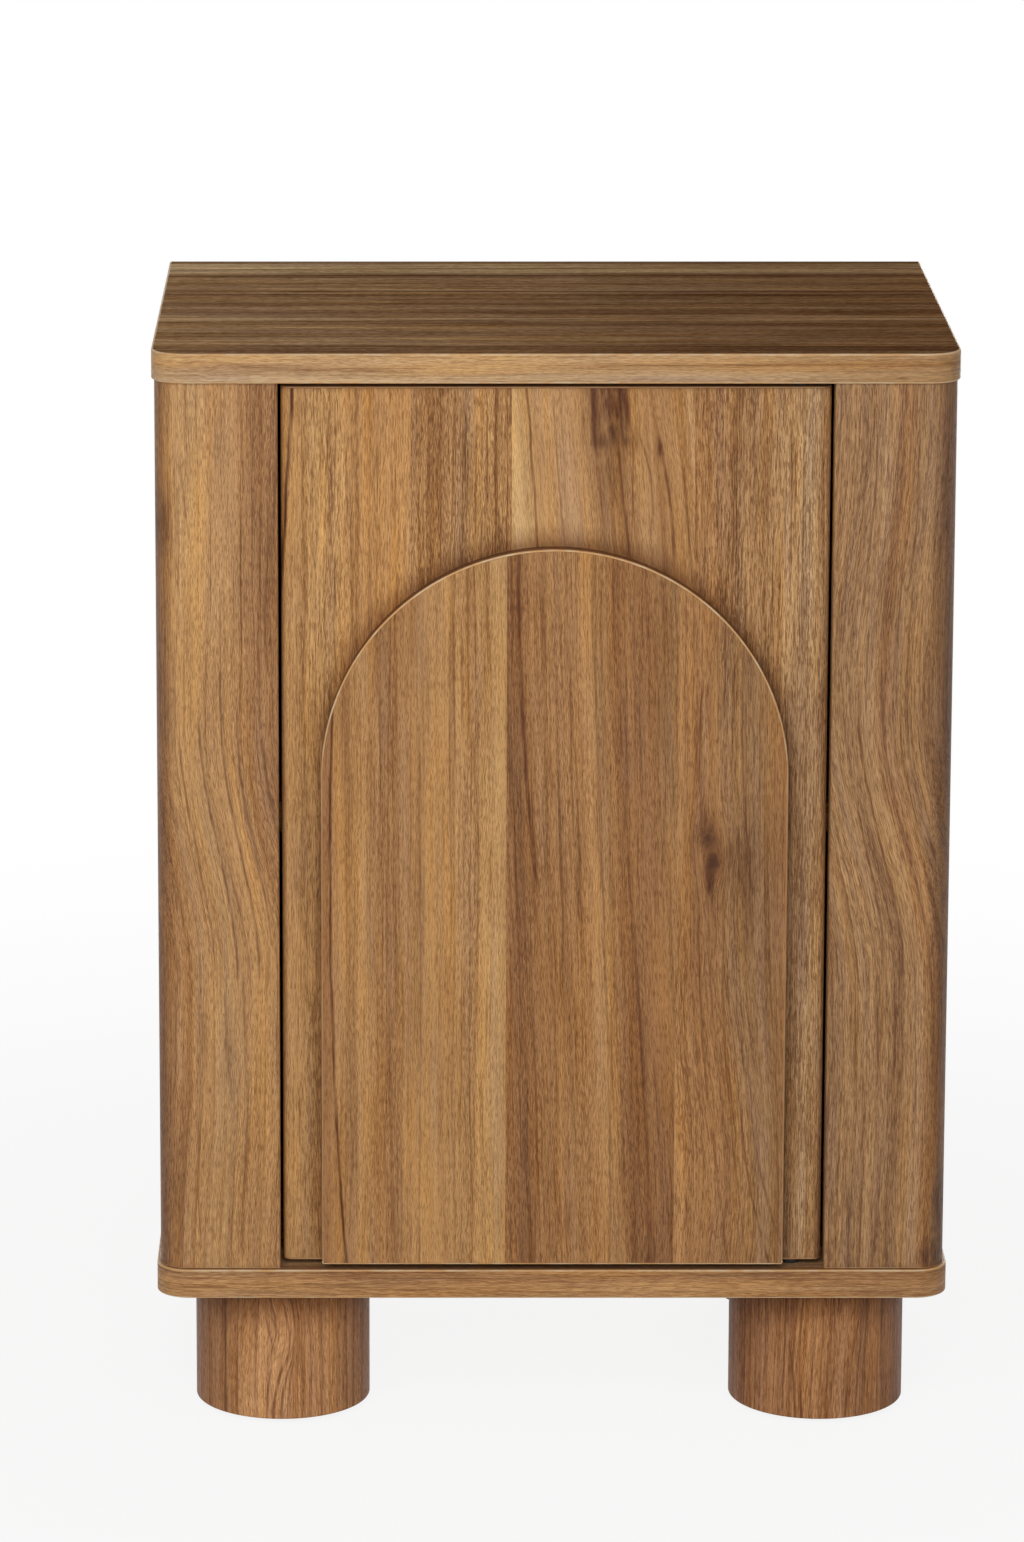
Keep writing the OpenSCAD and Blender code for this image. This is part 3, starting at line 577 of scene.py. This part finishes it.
LEFT_STILE_VEINS = [
    (545, -200, 520, -197.5, 500, -195, 0.56, 0.52, 3), (570, -166, 530, -165, 508, -163, 0.56, 0.45, 0),
    (500, -152, 470, -154, 430, -153, 0.96, 0.38, 4), (470, -178.5, 440, -178.5, 415, -178, 0.48, 0.38, 0),
    (430, -178.5, 340, -178, 262, -179, 0.64, 0.64, 3), (400, -190, 330, -190, 255, -191, 0.64, 0.68, 3),
    (390, -201, 320, -202, 260, -203, 0.56, 0.52, 3), (410, -169.5, 340, -170, 280, -171, 0.56, 0.52, 3),
    (390, -156, 360, -156, 300, -156, 0.64, 0.52, 3), (250, -198, 220, -196.5, 190, -195, 0.72, 0.38, 5),
    (260, -188, 190, -185.5, 110, -184, 0.64, 0.45, -4), (180, -212, 150, -210.5, 110, -207, 0.56, 0.38, 3),
]
LEFT_STILE_STAINS = [(-209, 508, 6, 16, 0.7), (-151, 470, 5, 42, 0.4), (-175, 210, 5, 32, 0.35)]
RIGHT_STILE_WOOD = one_board(
    (130, GREY_BROWN, 0.7), (154, MID_GREY, 0.5), (164, GREY_BROWN, 0.7), (174, MID_GREY, 0.5),
    (184, MID, 0.6), (191, GREY_BROWN, 0.6), (240, GREY_BROWN, 0.5))
RIGHT_STILE_VEINS = [
    (560, 169.5, 510, 170.5, 430, 169, 0.56, 0.52, 3), (530, 193, 500, 194, 470, 193, 0.56, 0.38, 3),
    (430, 170, 345, 170, 262, 169, 0.64, 0.71, 3), (430, 182, 340, 183.5, 255, 183, 0.64, 0.6, 3),
    (400, 163, 340, 162, 255, 157.5, 0.56, 0.52, 3), (310, 144, 290, 144, 255, 145, 0.48, 0.45, 0),
    (375, 196, 345, 196, 320, 197, 0.56, 0.45, 3), (240, 157, 180, 157, 90, 159, 0.48, 0.3, 0),
    (150, 140, 120, 141.5, 80, 143, 0.56, 0.45, -3),
]
RIGHT_STILE_STAINS = [(211, 130, 4, 16, 0.8), (206, 102, 9, 7, 0.6), (176, 440, 6, 50, 0.3)]
TOP_LIGHT = rgb(252, 219, 170)
TOP_PALE = rgb(238, 200, 150)
TOP_MID = rgb(226, 186, 137)
TOP_BROWN = rgb(204, 164, 119)
TOP_DARK = rgb(184, 144, 103)
TOP_WOOD = one_board(
    (-160, TOP_DARK, 0.7), (-128, TOP_DARK, 0.8), (-124, TOP_BROWN, 0.8), (-108, TOP_MID, 0.6),
    (-98, TOP_BROWN, 0.8), (-82, TOP_BROWN, 0.9), (-70, TOP_MID, 0.7), (-62, TOP_BROWN, 0.8),
    (-52, TOP_DARK, 0.8), (-42, TOP_PALE, 0.6), (-30, TOP_MID, 0.7), (-25, TOP_DARK, 0.8),
    (-14, TOP_DARK, 0.8), (-8, TOP_MID, 0.8), (0, TOP_BROWN, 0.8), (7, TOP_DARK, 0.8), (14, TOP_MID, 0.8),
    (24, TOP_BROWN, 0.8), (36, TOP_DARK, 0.9), (42, TOP_MID, 0.8), (49, TOP_DARK, 0.6), (51, TOP_PALE, 0.5),
    (56, TOP_MID, 0.8), (76, TOP_BROWN, 0.9), (90, TOP_MID, 0.8), (98, TOP_DARK, 0.8), (106, TOP_BROWN, 0.7),
    (111, TOP_LIGHT, 0.7), (138, TOP_LIGHT, 0.7), (145, TOP_DARK, 0.6), (160, TOP_DARK, 0.6))
TOP_VEINS = [
    (330, 123, -60, 125, -330, 113, 1.3, 0.7, 0), (330, 47.5, 40, 48, -150, 48.5, 0.9, 0.5, -5),
    (330, -36, 40, -42.5, -150, -52, 1.0, 0.6, 0), (-30, 25, -60, 22, -95, 19, 1.6, 0.55, 0),
    (205, 37, 150, 34.5, 105, 33, 1.8, 0.55, 0), (330, -6, 200, -3, 90, -2, 2.2, 0.35, 0),
    (330, -130, 0, -127, -330, -126, 0.9, 0.5, -6), (330, 100, 60, 102, -330, 95, 1.6, 0.4, 4),
]
SIDE_WOOD = one_board(
    (-140, MID, 0.5), (-90, TAN, 0.4), (-62, MID, 0.6), (-58, BROWN, 0.9), (-20, MID, 0.7), (10, TAN, 0.3),
    (42, AMBER, 0.3), (46, MID, 0.7), (80, BROWN, 0.9), (104, MID, 0.6), (107, STRAW, 0.2), (118, TAN, 0.3),
    (160, MID, 0.5))
PLAIN_WOOD = one_board(
    (-300, MID, 0.4), (-200, TAN, 0.6), (-100, MID, 0.4), (0, TAN, 0.6), (100, MID, 0.4), (200, TAN, 0.6),
    (300, MID, 0.4))
BEECH = one_board((-300, PALE, 0.1), (0, STRAW, 0.2), (300, PALE, 0.1))
TOP_BAND_WOOD = one_board(
    (580, BAND_TONE, 0.5), (588, BAND_TONE, 0.3), (594, STRAW, 0.6), (604, BAND_TONE, 0.3))
BASE_BAND_WOOD = one_board((76, MID, 0.9), (84, TAN, 0.8), (90, MID, 0.9), (98, TAN, 0.8))
SHELF_BAND_WOOD = one_board((330, TAN, 0.5), (339, STRAW, 0.4), (348, TAN, 0.5))
# The arch band's own dark brown, darker still towards the door's face: a painted shade in the corner where
# the band meets the door.
ARCH_BAND_WOOD_AND_SHADE = one_board((-152, UMBER, 0.4), (-149, UMBER, 0.4), (-145, DARK, 0.5), (-138, DARK, 0.4))
FOOT_LIGHT = rgb(214, 161, 110)
FOOT_TAN = rgb(196, 145, 97)
FOOT_BROWN = rgb(172, 122, 81)
FOOT_UMBER = rgb(150, 103, 69)
FOOT_WOOD = one_board(
    (-150, FOOT_TAN, 0.5), (-110, FOOT_BROWN, 0.5), (-80, FOOT_BROWN, 0.5), (-62, FOOT_UMBER, 0.5),
    (-44, FOOT_BROWN, 0.5), (-18, FOOT_TAN, 0.4), (8, FOOT_TAN, 0.4), (42, FOOT_BROWN, 0.5),
    (62, FOOT_UMBER, 0.5), (80, FOOT_BROWN, 0.5), (110, FOOT_BROWN, 0.5), (150, FOOT_TAN, 0.5))
# A lighter copy of the foot wood: painted light on the front left foot, lighter as the light falls from the
# left; the rear feet share it.
PAINTED_LIGHTER_FOOT_WOOD = one_board(
    (-150, FOOT_TAN, 0.5), (-110, FOOT_TAN, 0.5), (-62, FOOT_BROWN, 0.5), (-30, FOOT_TAN, 0.5),
    (-18, FOOT_LIGHT, 0.4), (24, FOOT_LIGHT, 0.4), (42, FOOT_TAN, 0.5), (62, FOOT_BROWN, 0.5),
    (110, FOOT_TAN, 0.5), (150, FOOT_TAN, 0.5))
LEFT_FOOT_VEINS = [
    (90, -33, 40, -33.5, -10, -33, 1.1, 0.75, -5), (64, -9, 54, -7.5, 44, -5, 0.4, 0.6, 0),
    (62, -7, 54, -3, 43, -4.5, 0.4, 0.5, 0), (90, -1, 60, 6.5, 36, 5.5, 0.4, 0.6, 0),
    (80, -3, 58, 3, 38, 3.5, 0.4, 0.5, 0), (90, 3, 60, 9.5, 30, 9, 0.4, 0.5, 0),
    (42, 4.5, 26, -1.5, -10, -3, 0.8, 0.7, 0), (38, 6, 22, 1.5, -10, 0, 0.6, 0.7, 0),
    (40, 7, 24, 4.5, -10, 2.5, 0.5, 0.5, 0), (32, -6, 18, -7.5, -10, -9, 0.5, 0.5, 0),
    (75, -24.5, 40, -25, -10, -25, 0.5, 0.5, 0), (62, 14, 42, 17, 20, 16, 0.5, 0.5, 0),
    (90, 21, 40, 23, -10, 22.5, 0.5, 0.4, 0), (70, 28, 40, 31, 15, 28, 0.5, 0.45, 0),
    (90, 45, 40, 46, -10, 45, 0.8, 0.4, 3),
]
RIGHT_FOOT_VEINS = [
    (70, -10, 35, -10.5, -10, -8, 0.6, 0.7, -3), (46, -17, 28, -14.5, -10, -11.5, 0.8, 0.6, 0),
    (40, -13, 22, -11, -10, -9.5, 0.6, 0.5, 0), (90, -19, 40, -20, -10, -20.5, 0.5, 0.5, 0),
    (90, -31.5, 40, -31.5, -10, -31, 0.5, 0.5, 3), (68, -43, 30, -43.5, -10, -43, 0.8, 0.6, -4),
    (90, 5, 45, 7.5, -10, 2, 0.5, 0.5, 0), (60, 21, 35, 17, -10, 13, 0.5, 0.5, 3),
    (70, 34, 40, 34.5, 5, 35, 0.5, 0.45, 0), (90, -2, 50, 2, -10, -1.5, 0.4, 0.4, 0),
]
FEET = {  # node: (tones, drifts, veins), across being the way round the foot from its front
    # the front left foot takes the lighter copy as painted light
    "front_left_foot": (PAINTED_LIGHTER_FOOT_WOOD, [(0, 56, 9, 18, 5), (-26, 20, 12, 45, -3)], LEFT_FOOT_VEINS),
    "front_right_foot": (FOOT_WOOD, [(-12, 10, 13, 45, -4), (20, 70, 12, 40, 4)], RIGHT_FOOT_VEINS),
    "rear_left_foot": (PAINTED_LIGHTER_FOOT_WOOD, [(0, 40, 13, 45, 5)], ()),
    "rear_right_foot": (PAINTED_LIGHTER_FOOT_WOOD, [(3, 45, 13, 40, -5)], ()),
}


# ---- Other finishes ----


def trim(name, foot=None, crown=None):
    """The pale line where an edge was trimmed and softened.

    Where foot is given it is brown above that height, a painted shade where less light falls, and
    with crown (from, to) it turns pale again between those two heights, where light from above
    catches it.
    """
    surface = Surface(name)
    height = surface.xyz[2]
    patch = surface.speckle(9, detail=3).step(0.35, 0.7)
    worn = surface.speckle(2)
    colour = surface.blend(patch, TAN, TRIM_TONE)
    # painted shade: brown above the foot, pale again at the crown where light from above falls
    if foot:
        pale = height.step(foot + 1, foot)
        if crown:
            pale = pale.math("MAXIMUM", height.step(*crown))
        colour = surface.blend(pale, surface.blend(patch, BROWN, GREY_BROWN), colour)
    return surface.finish(colour, 0.4 + worn * 0.2, worn, depth=0.03, specular=0.4)


def metal(name, tone, roughness):
    """Plated metal with fine drawn marks."""
    surface = Surface(name)
    marks = surface.speckle(0.4, detail=3, roughness=0.7, tall=3)
    dull = surface.speckle(6).step(0.35, 0.75)
    colour = surface.blend(dull * 0.35, tone, rgb(120, 118, 116))
    return surface.finish(colour, roughness + marks * 0.18, marks, depth=0.02, metallic=1.0)


def plastic(name, tone, roughness):
    """Moulded nylon with a fine grained skin."""
    surface = Surface(name)
    skin = surface.speckle(0.25)
    cloud = surface.speckle(12, detail=3).step(0.3, 0.7)
    colour = surface.blend(cloud * 0.25, tone, rgb(70, 70, 72))
    return surface.finish(colour, roughness + skin * 0.12, skin, depth=0.02)


def hardboard(name):
    """Brown fibreboard: felted fibres in a dense sheet."""
    surface = Surface(name)
    felt = surface.speckle(1.1, detail=5, roughness=0.7)
    cloud = surface.speckle(45, detail=3).step(0.35, 0.65)
    fleck = surface.speckle(0.9, detail=1, tall=2.2).step(0.66, 0.74)
    colour = surface.blend(felt.step(0.3, 0.7), rgb(122, 88, 60), rgb(158, 120, 84))
    colour = surface.blend(cloud * 0.4, colour, rgb(134, 98, 66))
    colour = surface.blend(fleck * 0.6, colour, rgb(92, 62, 42))
    return surface.finish(colour, 0.62 + felt * 0.15, felt, depth=0.06, specular=0.3)


# ---- Modelled pieces ----


def corner_path(corners, closed=True):
    """Stations (x, y, out x, out y) round convex corners (x, y, radius), counterclockwise.

    out is how far a station moves for each unit that the path is drawn out, so that insets of a
    rounded corner stay concentric and a square one stays square.
    """
    stations = []
    count = len(corners)
    for i, (x, y, radius) in enumerate(corners):
        here = Vector((x, y))
        if not closed and i in (0, count - 1):
            other = Vector(corners[1 if i == 0 else count - 2][:2])
            way = (other - here if i == 0 else here - other).normalized()
            stations.append((x, y, way.y, -way.x))
            continue
        arriving = (here - Vector(corners[i - 1][:2])).normalized()
        leaving = (Vector(corners[(i + 1) % count][:2]) - here).normalized()
        turn = -arriving.angle_signed(leaving)
        reach = radius * math.tan(turn / 2)
        start = math.atan2(-arriving.x, arriving.y)
        centre = here - arriving * reach - Vector((arriving.y, -arriving.x)) * radius
        step = ARC_STEP_DEG if radius > LARGE_RADIUS else SMALL_ARC_STEP_DEG
        steps = round(math.degrees(turn) / step)
        for k in range(steps + 1):
            angle = start + turn * k / steps
            out = Vector((math.cos(angle), math.sin(angle)))
            stations.append((*(centre + out * radius), *out))
    return stations


def plan_corners(low, high, back, left, right):
    """A board's corners in plan, from the radii of its back, front left and front right ones."""
    return [(low.x, high.y, back), (low.x, low.y, left), (high.x, low.y, right), (high.x, high.y, back)]


def circle_path(x, y, radius):
    angles = [math.tau * k / FOOT_STEPS for k in range(FOOT_STEPS)]
    outs = [(math.cos(angle), math.sin(angle)) for angle in angles]
    return [(x + radius * ox, y + radius * oy, ox, oy) for ox, oy in outs]


def rounding(size, at, rise, start_deg, end_deg):
    """Section points (inset, height, slot) round an end edge whose face is at height at."""
    points = []
    for k in range(ROUND_STEPS + 1):
        angle = math.radians(start_deg + (end_deg - start_deg) * k / ROUND_STEPS)
        points.append((size * (1 - math.sin(angle)), at + rise * size * (1 - math.cos(angle)), TRIM))
    return points


def side_section(low, high, round_low, round_high, thickness=None):
    """Section (inset, height, slot) from a low face round the side to a high face.

    Both faces reach in to the thickness of an edge band, or to just inside the roundings.
    """
    section = [(thickness or round_low + SUPPORT, low, FLAT)]
    section += rounding(round_low, low, 1, 0, 90)
    section += [(0, low + round_low + SUPPORT, FLAT), (0, high - round_high - SUPPORT, FLAT)]
    section += rounding(round_high, high, -1, 90, 0)
    return section + [(thickness or round_high + SUPPORT, high, FLAT)]


def upright(x, y, height):
    return Vector((x, y, height))


def facing_front(x, y, height):
    """For a plan drawn in X and Z and built up towards -Y, height being how far forward."""
    return Vector((x, -height, y))


def link(thing):
    bpy.context.scene.collection.objects.link(thing)
    return thing


def sweep(name, path, section, body, materials, place=upright, closed=True, hollow=False):
    """A piece that carries a section round a path. hollow closes the section into a band."""
    made = bmesh.new()
    rings = []
    for inset, height, _ in section:
        places = [place(x - ox * inset, y - oy * inset, height) for x, y, ox, oy in path]
        rings.append([made.verts.new(point) for point in places])
    count = len(path)
    spans = range(count if closed else count - 1)
    pairs = [(i, i + 1) for i in range(len(section) - 1)]
    if hollow:
        pairs.append((len(section) - 1, 0))
    for low, high in pairs:
        both_trim = section[low][2] == TRIM and section[high][2] == TRIM
        for k in spans:
            after = (k + 1) % count
            face = made.faces.new((rings[low][k], rings[low][after], rings[high][after], rings[high][k]))
            face.material_index = TRIM if both_trim else FLAT
    if not hollow:
        made.faces.new(reversed(rings[0]))
        made.faces.new(rings[-1])
    elif not closed:
        made.faces.new([ring[0] for ring in rings])
        made.faces.new([ring[-1] for ring in reversed(rings)])
    bmesh.ops.recalc_face_normals(made, faces=made.faces)
    mesh = bpy.data.meshes.new(name)
    made.to_mesh(mesh)
    made.free()
    mesh.shade_smooth()
    mesh.set_sharp_from_angle(angle=math.radians(SHARP_DEG))
    for material in materials:
        mesh.materials.append(material)
    piece = link(bpy.data.objects.new(name, mesh))
    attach(piece, body)
    return piece


def dress(node, material, edge=0.0):
    """Gives a CAD node its finish, and softens its sharp edges by that width."""
    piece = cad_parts[node]
    piece.data.materials.clear()
    piece.data.materials.append(material)
    if edge:
        weld = piece.modifiers.new("weld", "WELD")
        weld.merge_threshold = WELD
        bevel = piece.modifiers.new("soft_edges", "BEVEL")
        bevel.width = edge
        bevel.segments = BEVEL_SEGMENTS
        bevel.limit_method = "ANGLE"
        bevel.angle_limit = math.radians(BEVEL_ABOVE_DEG)
        bevel.harden_normals = True
        bevel.use_clamp_overlap = False


# ---- Build ----

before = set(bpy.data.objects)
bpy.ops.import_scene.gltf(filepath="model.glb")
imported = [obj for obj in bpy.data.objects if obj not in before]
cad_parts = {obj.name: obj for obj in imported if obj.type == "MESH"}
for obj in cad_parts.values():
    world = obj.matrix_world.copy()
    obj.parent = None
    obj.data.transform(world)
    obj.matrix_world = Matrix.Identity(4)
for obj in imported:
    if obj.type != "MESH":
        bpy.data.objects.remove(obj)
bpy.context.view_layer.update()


def make_finishes():
    """The materials, all but those of the feet, by name."""
    band = {"wrap": True, "sway": 1.2, "wave": 0.35, "pores": 0.6, "gloss": 0.25}
    return {
        # The top and its band are darker towards the right: painted shade for light that falls off away from
        # the left.
        "top": wood("top_wood", 1, 0, 2, TOP_WOOD, 1.7, sway=3.0, veins=TOP_VEINS, streak=1.2,
                    painted_shades=[(0.7, (0, -240, 200))], gloss=0.0),
        "top_band": wood("top_band_wood", 2, 0, 1, TOP_BAND_WOOD, 4.4, **band,
                         painted_shades=[(0.5, (0, -120, 215))]),
        # The base is darker on its top face towards the front: a painted shadow under the door and stiles.
        "base": wood("base_wood", 1, 0, 2, mirrored(TOP_WOOD), 9.2, sway=3.0,
                     painted_shades=[(0.75, (2, 88, 94), (1, -120, -130))]),
        "base_band": wood("base_band_wood", 2, 0, 1, BASE_BAND_WOOD, 6.1, **band),
        # Each stile is darker on its rounded outer corner: painted shade where the corner turns from the
        # light.
        "left_stile": wood(
            "left_stile_wood", 0, 2, 1, LEFT_STILE_WOOD, 2.3, bends=[(400, 255, 21), (200, 95, -5)],
            stains=LEFT_STILE_STAINS, veins=LEFT_STILE_VEINS, ring=0.6, ring_gap=7, fibre=1.6,
            painted_shades=[(0.7, (0, -201, -211), (1, -130, -137))], gloss=0.25),
        # Painted shade on the rounded outer corner, as on the left stile.
        "right_stile": wood(
            "right_stile_wood", 0, 2, 1, RIGHT_STILE_WOOD, 7.9, bends=[(560, 430, -8), (405, 255, 27)],
            stains=RIGHT_STILE_STAINS, veins=RIGHT_STILE_VEINS, ring=0.6, ring_gap=8, fibre=1.5,
            painted_shades=[(0.75, (0, 198, 210), (1, -130, -137))], gloss=0.25),
        "left_side": wood("left_side_wood", 1, 2, 0, SIDE_WOOD, 3.3, sway=7, drifts=[(0, 300, 60, 200, 20)],
                          ring=0.4, ring_gap=13),
        "right_side": wood("right_side_wood", 1, 2, 0, mirrored(SIDE_WOOD), 8.6, sway=7,
                           drifts=[(30, 420, 60, 200, -18)], ring=0.4, ring_gap=13),
        # The door's front gets a painted shadow round the arched panel.
        "door": wood("door_wood", 0, 2, 1, DOOR_WOOD, 5.2, pivot=540, sway=2, stains=DOOR_STAINS,
                     veins=DOOR_VEINS, ring=0.15, ring_gap=8, painted_rim_shade=(125, 369.6, 15, 1.0)),
        "arch": wood("arch_wood", 0, 2, 1, ARCH_WOOD, 0.6, sway=2.5, drifts=[(100, 140, 34, 90, 12)],
                     knots=[(82, 337, 2.9), (85, 323, 2.3)], stains=ARCH_STAINS, veins=ARCH_VEINS,
                     ring=0.15, ring_gap=9),
        # arch band wood with a painted shade towards the door
        "arch_band": wood("arch_band_wood", 1, 2, 0, ARCH_BAND_WOOD_AND_SHADE, 3.9, wrap=True, streak=0.7),
        "shelf": wood("shelf_wood", 1, 0, 2, PLAIN_WOOD, 6.6, ring=0.4),
        "shelf_band": wood("shelf_band_wood", 2, 0, 1, SHELF_BAND_WOOD, 4.9, sway=1.2, wave=0.35, pores=0.6),
        "beech": wood("dowel_beech", 0, 2, 1, BEECH, 1.1, streak=0.5),
        "trim": trim("trimmed_edge"),
        # The door's edge bands are brown all over, a painted shade under the top board and in the gap below
        # the door; the arched edge is brown on its sides as painted shade and pale at its crown and foot.
        "door_trim": trim("door_edge_in_painted_shade", foot=90),
        "arch_trim": trim("arch_edge_trim_and_painted_light", foot=99.5, crown=(330, 440)),
        "hardboard": hardboard("back_hardboard"),
        "steel": metal("plated_steel", rgb(205, 205, 208), 0.28),
        "zinc": metal("cast_zinc", rgb(176, 178, 182), 0.42),
        "black": plastic("black_nylon", rgb(26, 26, 28), 0.42),
        "grey": plastic("grey_nylon", rgb(140, 140, 142), 0.48),
    }


finish = make_finishes()


def make_plank(node, band_node, key, band_key):
    """The rounded edge band of the top or the base; its board keeps the CAD shape."""
    low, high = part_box(band_node)
    path = corner_path(plan_corners(low, high, 0, PLANK_CORNER, PLANK_CORNER), closed=False)
    section = side_section(low.z, high.z, TRIM_ROUND, TRIM_ROUND, BAND)
    band = sweep(band_node + "_rounded", path, section, "carcass",
                 [finish[band_key], finish["trim"]], closed=False, hollow=True)
    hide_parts(band_node)
    dress(node, finish[key])


def make_stile(node, key, left_corner, right_corner):
    """A front stile, whose outer corner is well rounded."""
    low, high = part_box(node)
    path = corner_path(plan_corners(low, high, SMALL_CORNER, left_corner, right_corner))
    section = side_section(low.z, high.z, END_ROUND, END_ROUND)
    stile = sweep(node + "_rounded", path, section, "carcass",
                  [finish[key], finish["trim"]])
    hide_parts(node)


def make_arch():
    """The arched panel and the band round its edge, the front edge softly rounded."""
    low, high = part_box("arch_edge_band")
    radius = (high.x - low.x) / 2
    back, front = -high.y, -low.y

    def outline(inset):
        left, right, bottom, top = low.x + inset, high.x - inset, low.z + inset, high.z - inset
        return corner_path([(left, bottom, SMALL_CORNER), (right, bottom, SMALL_CORNER),
                            (right, top, radius - inset), (left, top, radius - inset)])

    section = side_section(back, front, TIGHT_ROUND, ARCH_ROUND, BAND)
    band = sweep("arch_edge_band_rounded", outline(0), section, "door",
                 [finish["arch_band"], finish["arch_trim"]], place=facing_front, hollow=True)
    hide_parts("arch_edge_band")
    panel = sweep("arch_panel_smooth", outline(BAND), [(0, back, FLAT), (0, front, FLAT)], "door",
                  [finish["arch"]], place=facing_front)
    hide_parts("arch_panel")


def make_feet():
    """Four drum feet, the figure of each one its own."""
    low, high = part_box("front_right_foot")
    radius = (high.x - low.x) / 2
    for number, (node, (tones, drifts, veins)) in enumerate(FEET.items()):
        low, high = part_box(node)
        x, y = (low.x + high.x) / 2, (low.y + high.y) / 2
        # The painted shade darkens each foot towards its top, where the base overhangs it.
        laminate = wood(node + "_wood", 0, 2, 1, tones, FOOT_SEED + FOOT_SEED_STEP * number,
                        polar=(x / MM, y / MM, radius / MM), sway=3.0, wave=0.4, drifts=drifts, veins=veins,
                        ring=0.7, ring_gap=3.2, streak=1.1, fibre=1.3, painted_shades=[(0.8, (2, 48, 76))])
        section = side_section(low.z, high.z, FOOT_ROUND, TIGHT_ROUND)
        foot = sweep(node + "_round", circle_path(x, y, radius), section, "carcass",
                     [laminate, laminate])
        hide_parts(node)


def dress_the_rest():
    plan = {  # (finish, width of the softened edges in millimetres): nodes
        ("door", 0): ["door_board"],
        ("door_trim", 0.35): ["door_edge_bands"],
        ("left_side", 0.3): ["left_side_panel"],
        ("right_side", 0.3): ["right_side_panel"],
        ("hardboard", 0.2): ["back_panel"],
        ("shelf", 0.2): ["shelf"],
        ("shelf_band", 0.2): ["shelf_edge_band"],
        ("beech", 0.2): ["wood_dowels"],
        ("zinc", 0.1): ["foot_inserts"],
        ("zinc", 0.2): ["cam_locks"],
        ("steel", 0.1): ["cam_bolts", "foot_bolts", "arch_screws", "strike_screw", "latch_magnet",
                         "latch_screws"],
        ("steel", 0.2): ["shelf_pins", "base_screws", "strike_plate"],
        ("steel", 0.3): ["lower_hinge_pin", "upper_hinge_pin"],
        ("black", 0.3): ["lower_hinge_bush", "upper_hinge_bush"],
        ("black", 0.5): ["latch_plunger"],
        ("grey", 0.5): ["latch_housing"],
        ("grey", 0.6): ["foot_glides"],
    }
    for (key, edge), nodes in plan.items():
        for node in nodes:
            dress(node, finish[key], edge * MM)


# ---- Stage, light and camera ----


def seen_directly(tree):
    """1 for what the camera, a reflection or a see-through surface looks at, 0 for light that bounces."""
    path = new_node(tree, "LightPath")
    kinds = ("Camera", "Glossy", "Transmission")
    return strongest([Signal(path.outputs[f"Is {kind} Ray"]) for kind in kinds])


def make_stage():
    """A pale floor that keeps the shadow near the object and fades to white further out."""
    mesh = bpy.data.meshes.new("floor")
    plan = ((-1, -1), (1, -1), (1, 1), (-1, 1))
    mesh.from_pydata([(x * FLOOR_HALF, y * FLOOR_HALF, -FLOOR_GAP) for x, y in plan], [], [(0, 1, 2, 3)])
    link(bpy.data.objects.new("floor", mesh))
    material = bpy.data.materials.new("pale_floor")
    material.use_nodes = True
    tree = material.node_tree
    tree.nodes.clear()

    def mixed(factor, first, second):
        node = new_node(tree, "MixShader")
        feed(node, {0: factor, 1: Signal(first.outputs[0]), 2: Signal(second.outputs[0])})
        return node

    matt, glow, hole = (new_node(tree, kind) for kind in ("BsdfDiffuse", "Emission", "BsdfTransparent"))
    feed(matt, {"Color": grey(FLOOR_GREY)})
    feed(glow, {"Color": WHITE})
    place, distance = new_node(tree, "NewGeometry"), new_node(tree, "VectorMath")
    distance.operation = "LENGTH"
    feed(distance, {0: Signal(place.outputs["Position"])})
    far = Signal(distance.outputs["Value"]).step(*FLOOR_FADE)
    white = seen_directly(tree) * (far * (1 - FLOOR_GLOW) + FLOOR_GLOW)
    sides = mixed(Signal(place.outputs["Backfacing"]), mixed(white, matt, glow), hole)
    feed(new_node(tree, "OutputMaterial"), {"Surface": Signal(sides.outputs[0])})
    mesh.materials.append(material)


def make_world():
    """White where it is looked at, and an even light elsewhere."""
    world = bpy.data.worlds.new("studio")
    world.use_nodes = True
    tree = world.node_tree
    level = seen_directly(tree) * (1 - WORLD_LEVEL) + WORLD_LEVEL
    feed(tree.nodes["Background"], {"Color": WHITE, "Strength": level})
    bpy.context.scene.world = world


def make_softboxes():
    for name, (place, size, target, watts) in SOFTBOXES.items():
        data = bpy.data.lights.new(name, "AREA")
        data.shape = "RECTANGLE"
        data.size, data.size_y = size
        data.energy = watts
        lamp = link(bpy.data.objects.new(name, data))
        lamp.location = place
        lamp.visible_camera = False
        lamp.rotation_euler = (Vector(target) - Vector(place)).to_track_quat("-Z", "Y").to_euler()


def make_camera():
    data = bpy.data.cameras.new("camera")
    data.sensor_width = SENSOR
    data.lens = CAMERA_FOCUS_PX * SENSOR / PHOTO_HEIGHT_PX
    data.shift_x, data.shift_y = CAMERA_SHIFT
    data.clip_end = CAMERA_REACH
    camera = link(bpy.data.objects.new("camera", data))
    camera.location = CAMERA_PLACE
    camera.rotation_euler = (math.pi / 2 - CAMERA_PITCH, 0, 0)
    bpy.context.scene.camera = camera


make_plank("top_board", "top_edge_band", "top", "top_band")
make_plank("base_board", "base_edge_band", "base", "base_band")
make_stile("left_front_stile", "left_stile", STILE_CORNER, SMALL_CORNER)
make_stile("right_front_stile", "right_stile", SMALL_CORNER, STILE_CORNER)
make_arch()
make_feet()
dress_the_rest()

make_stage()
make_world()
make_softboxes()
make_camera()
bpy.context.scene.view_settings.view_transform = "Standard"
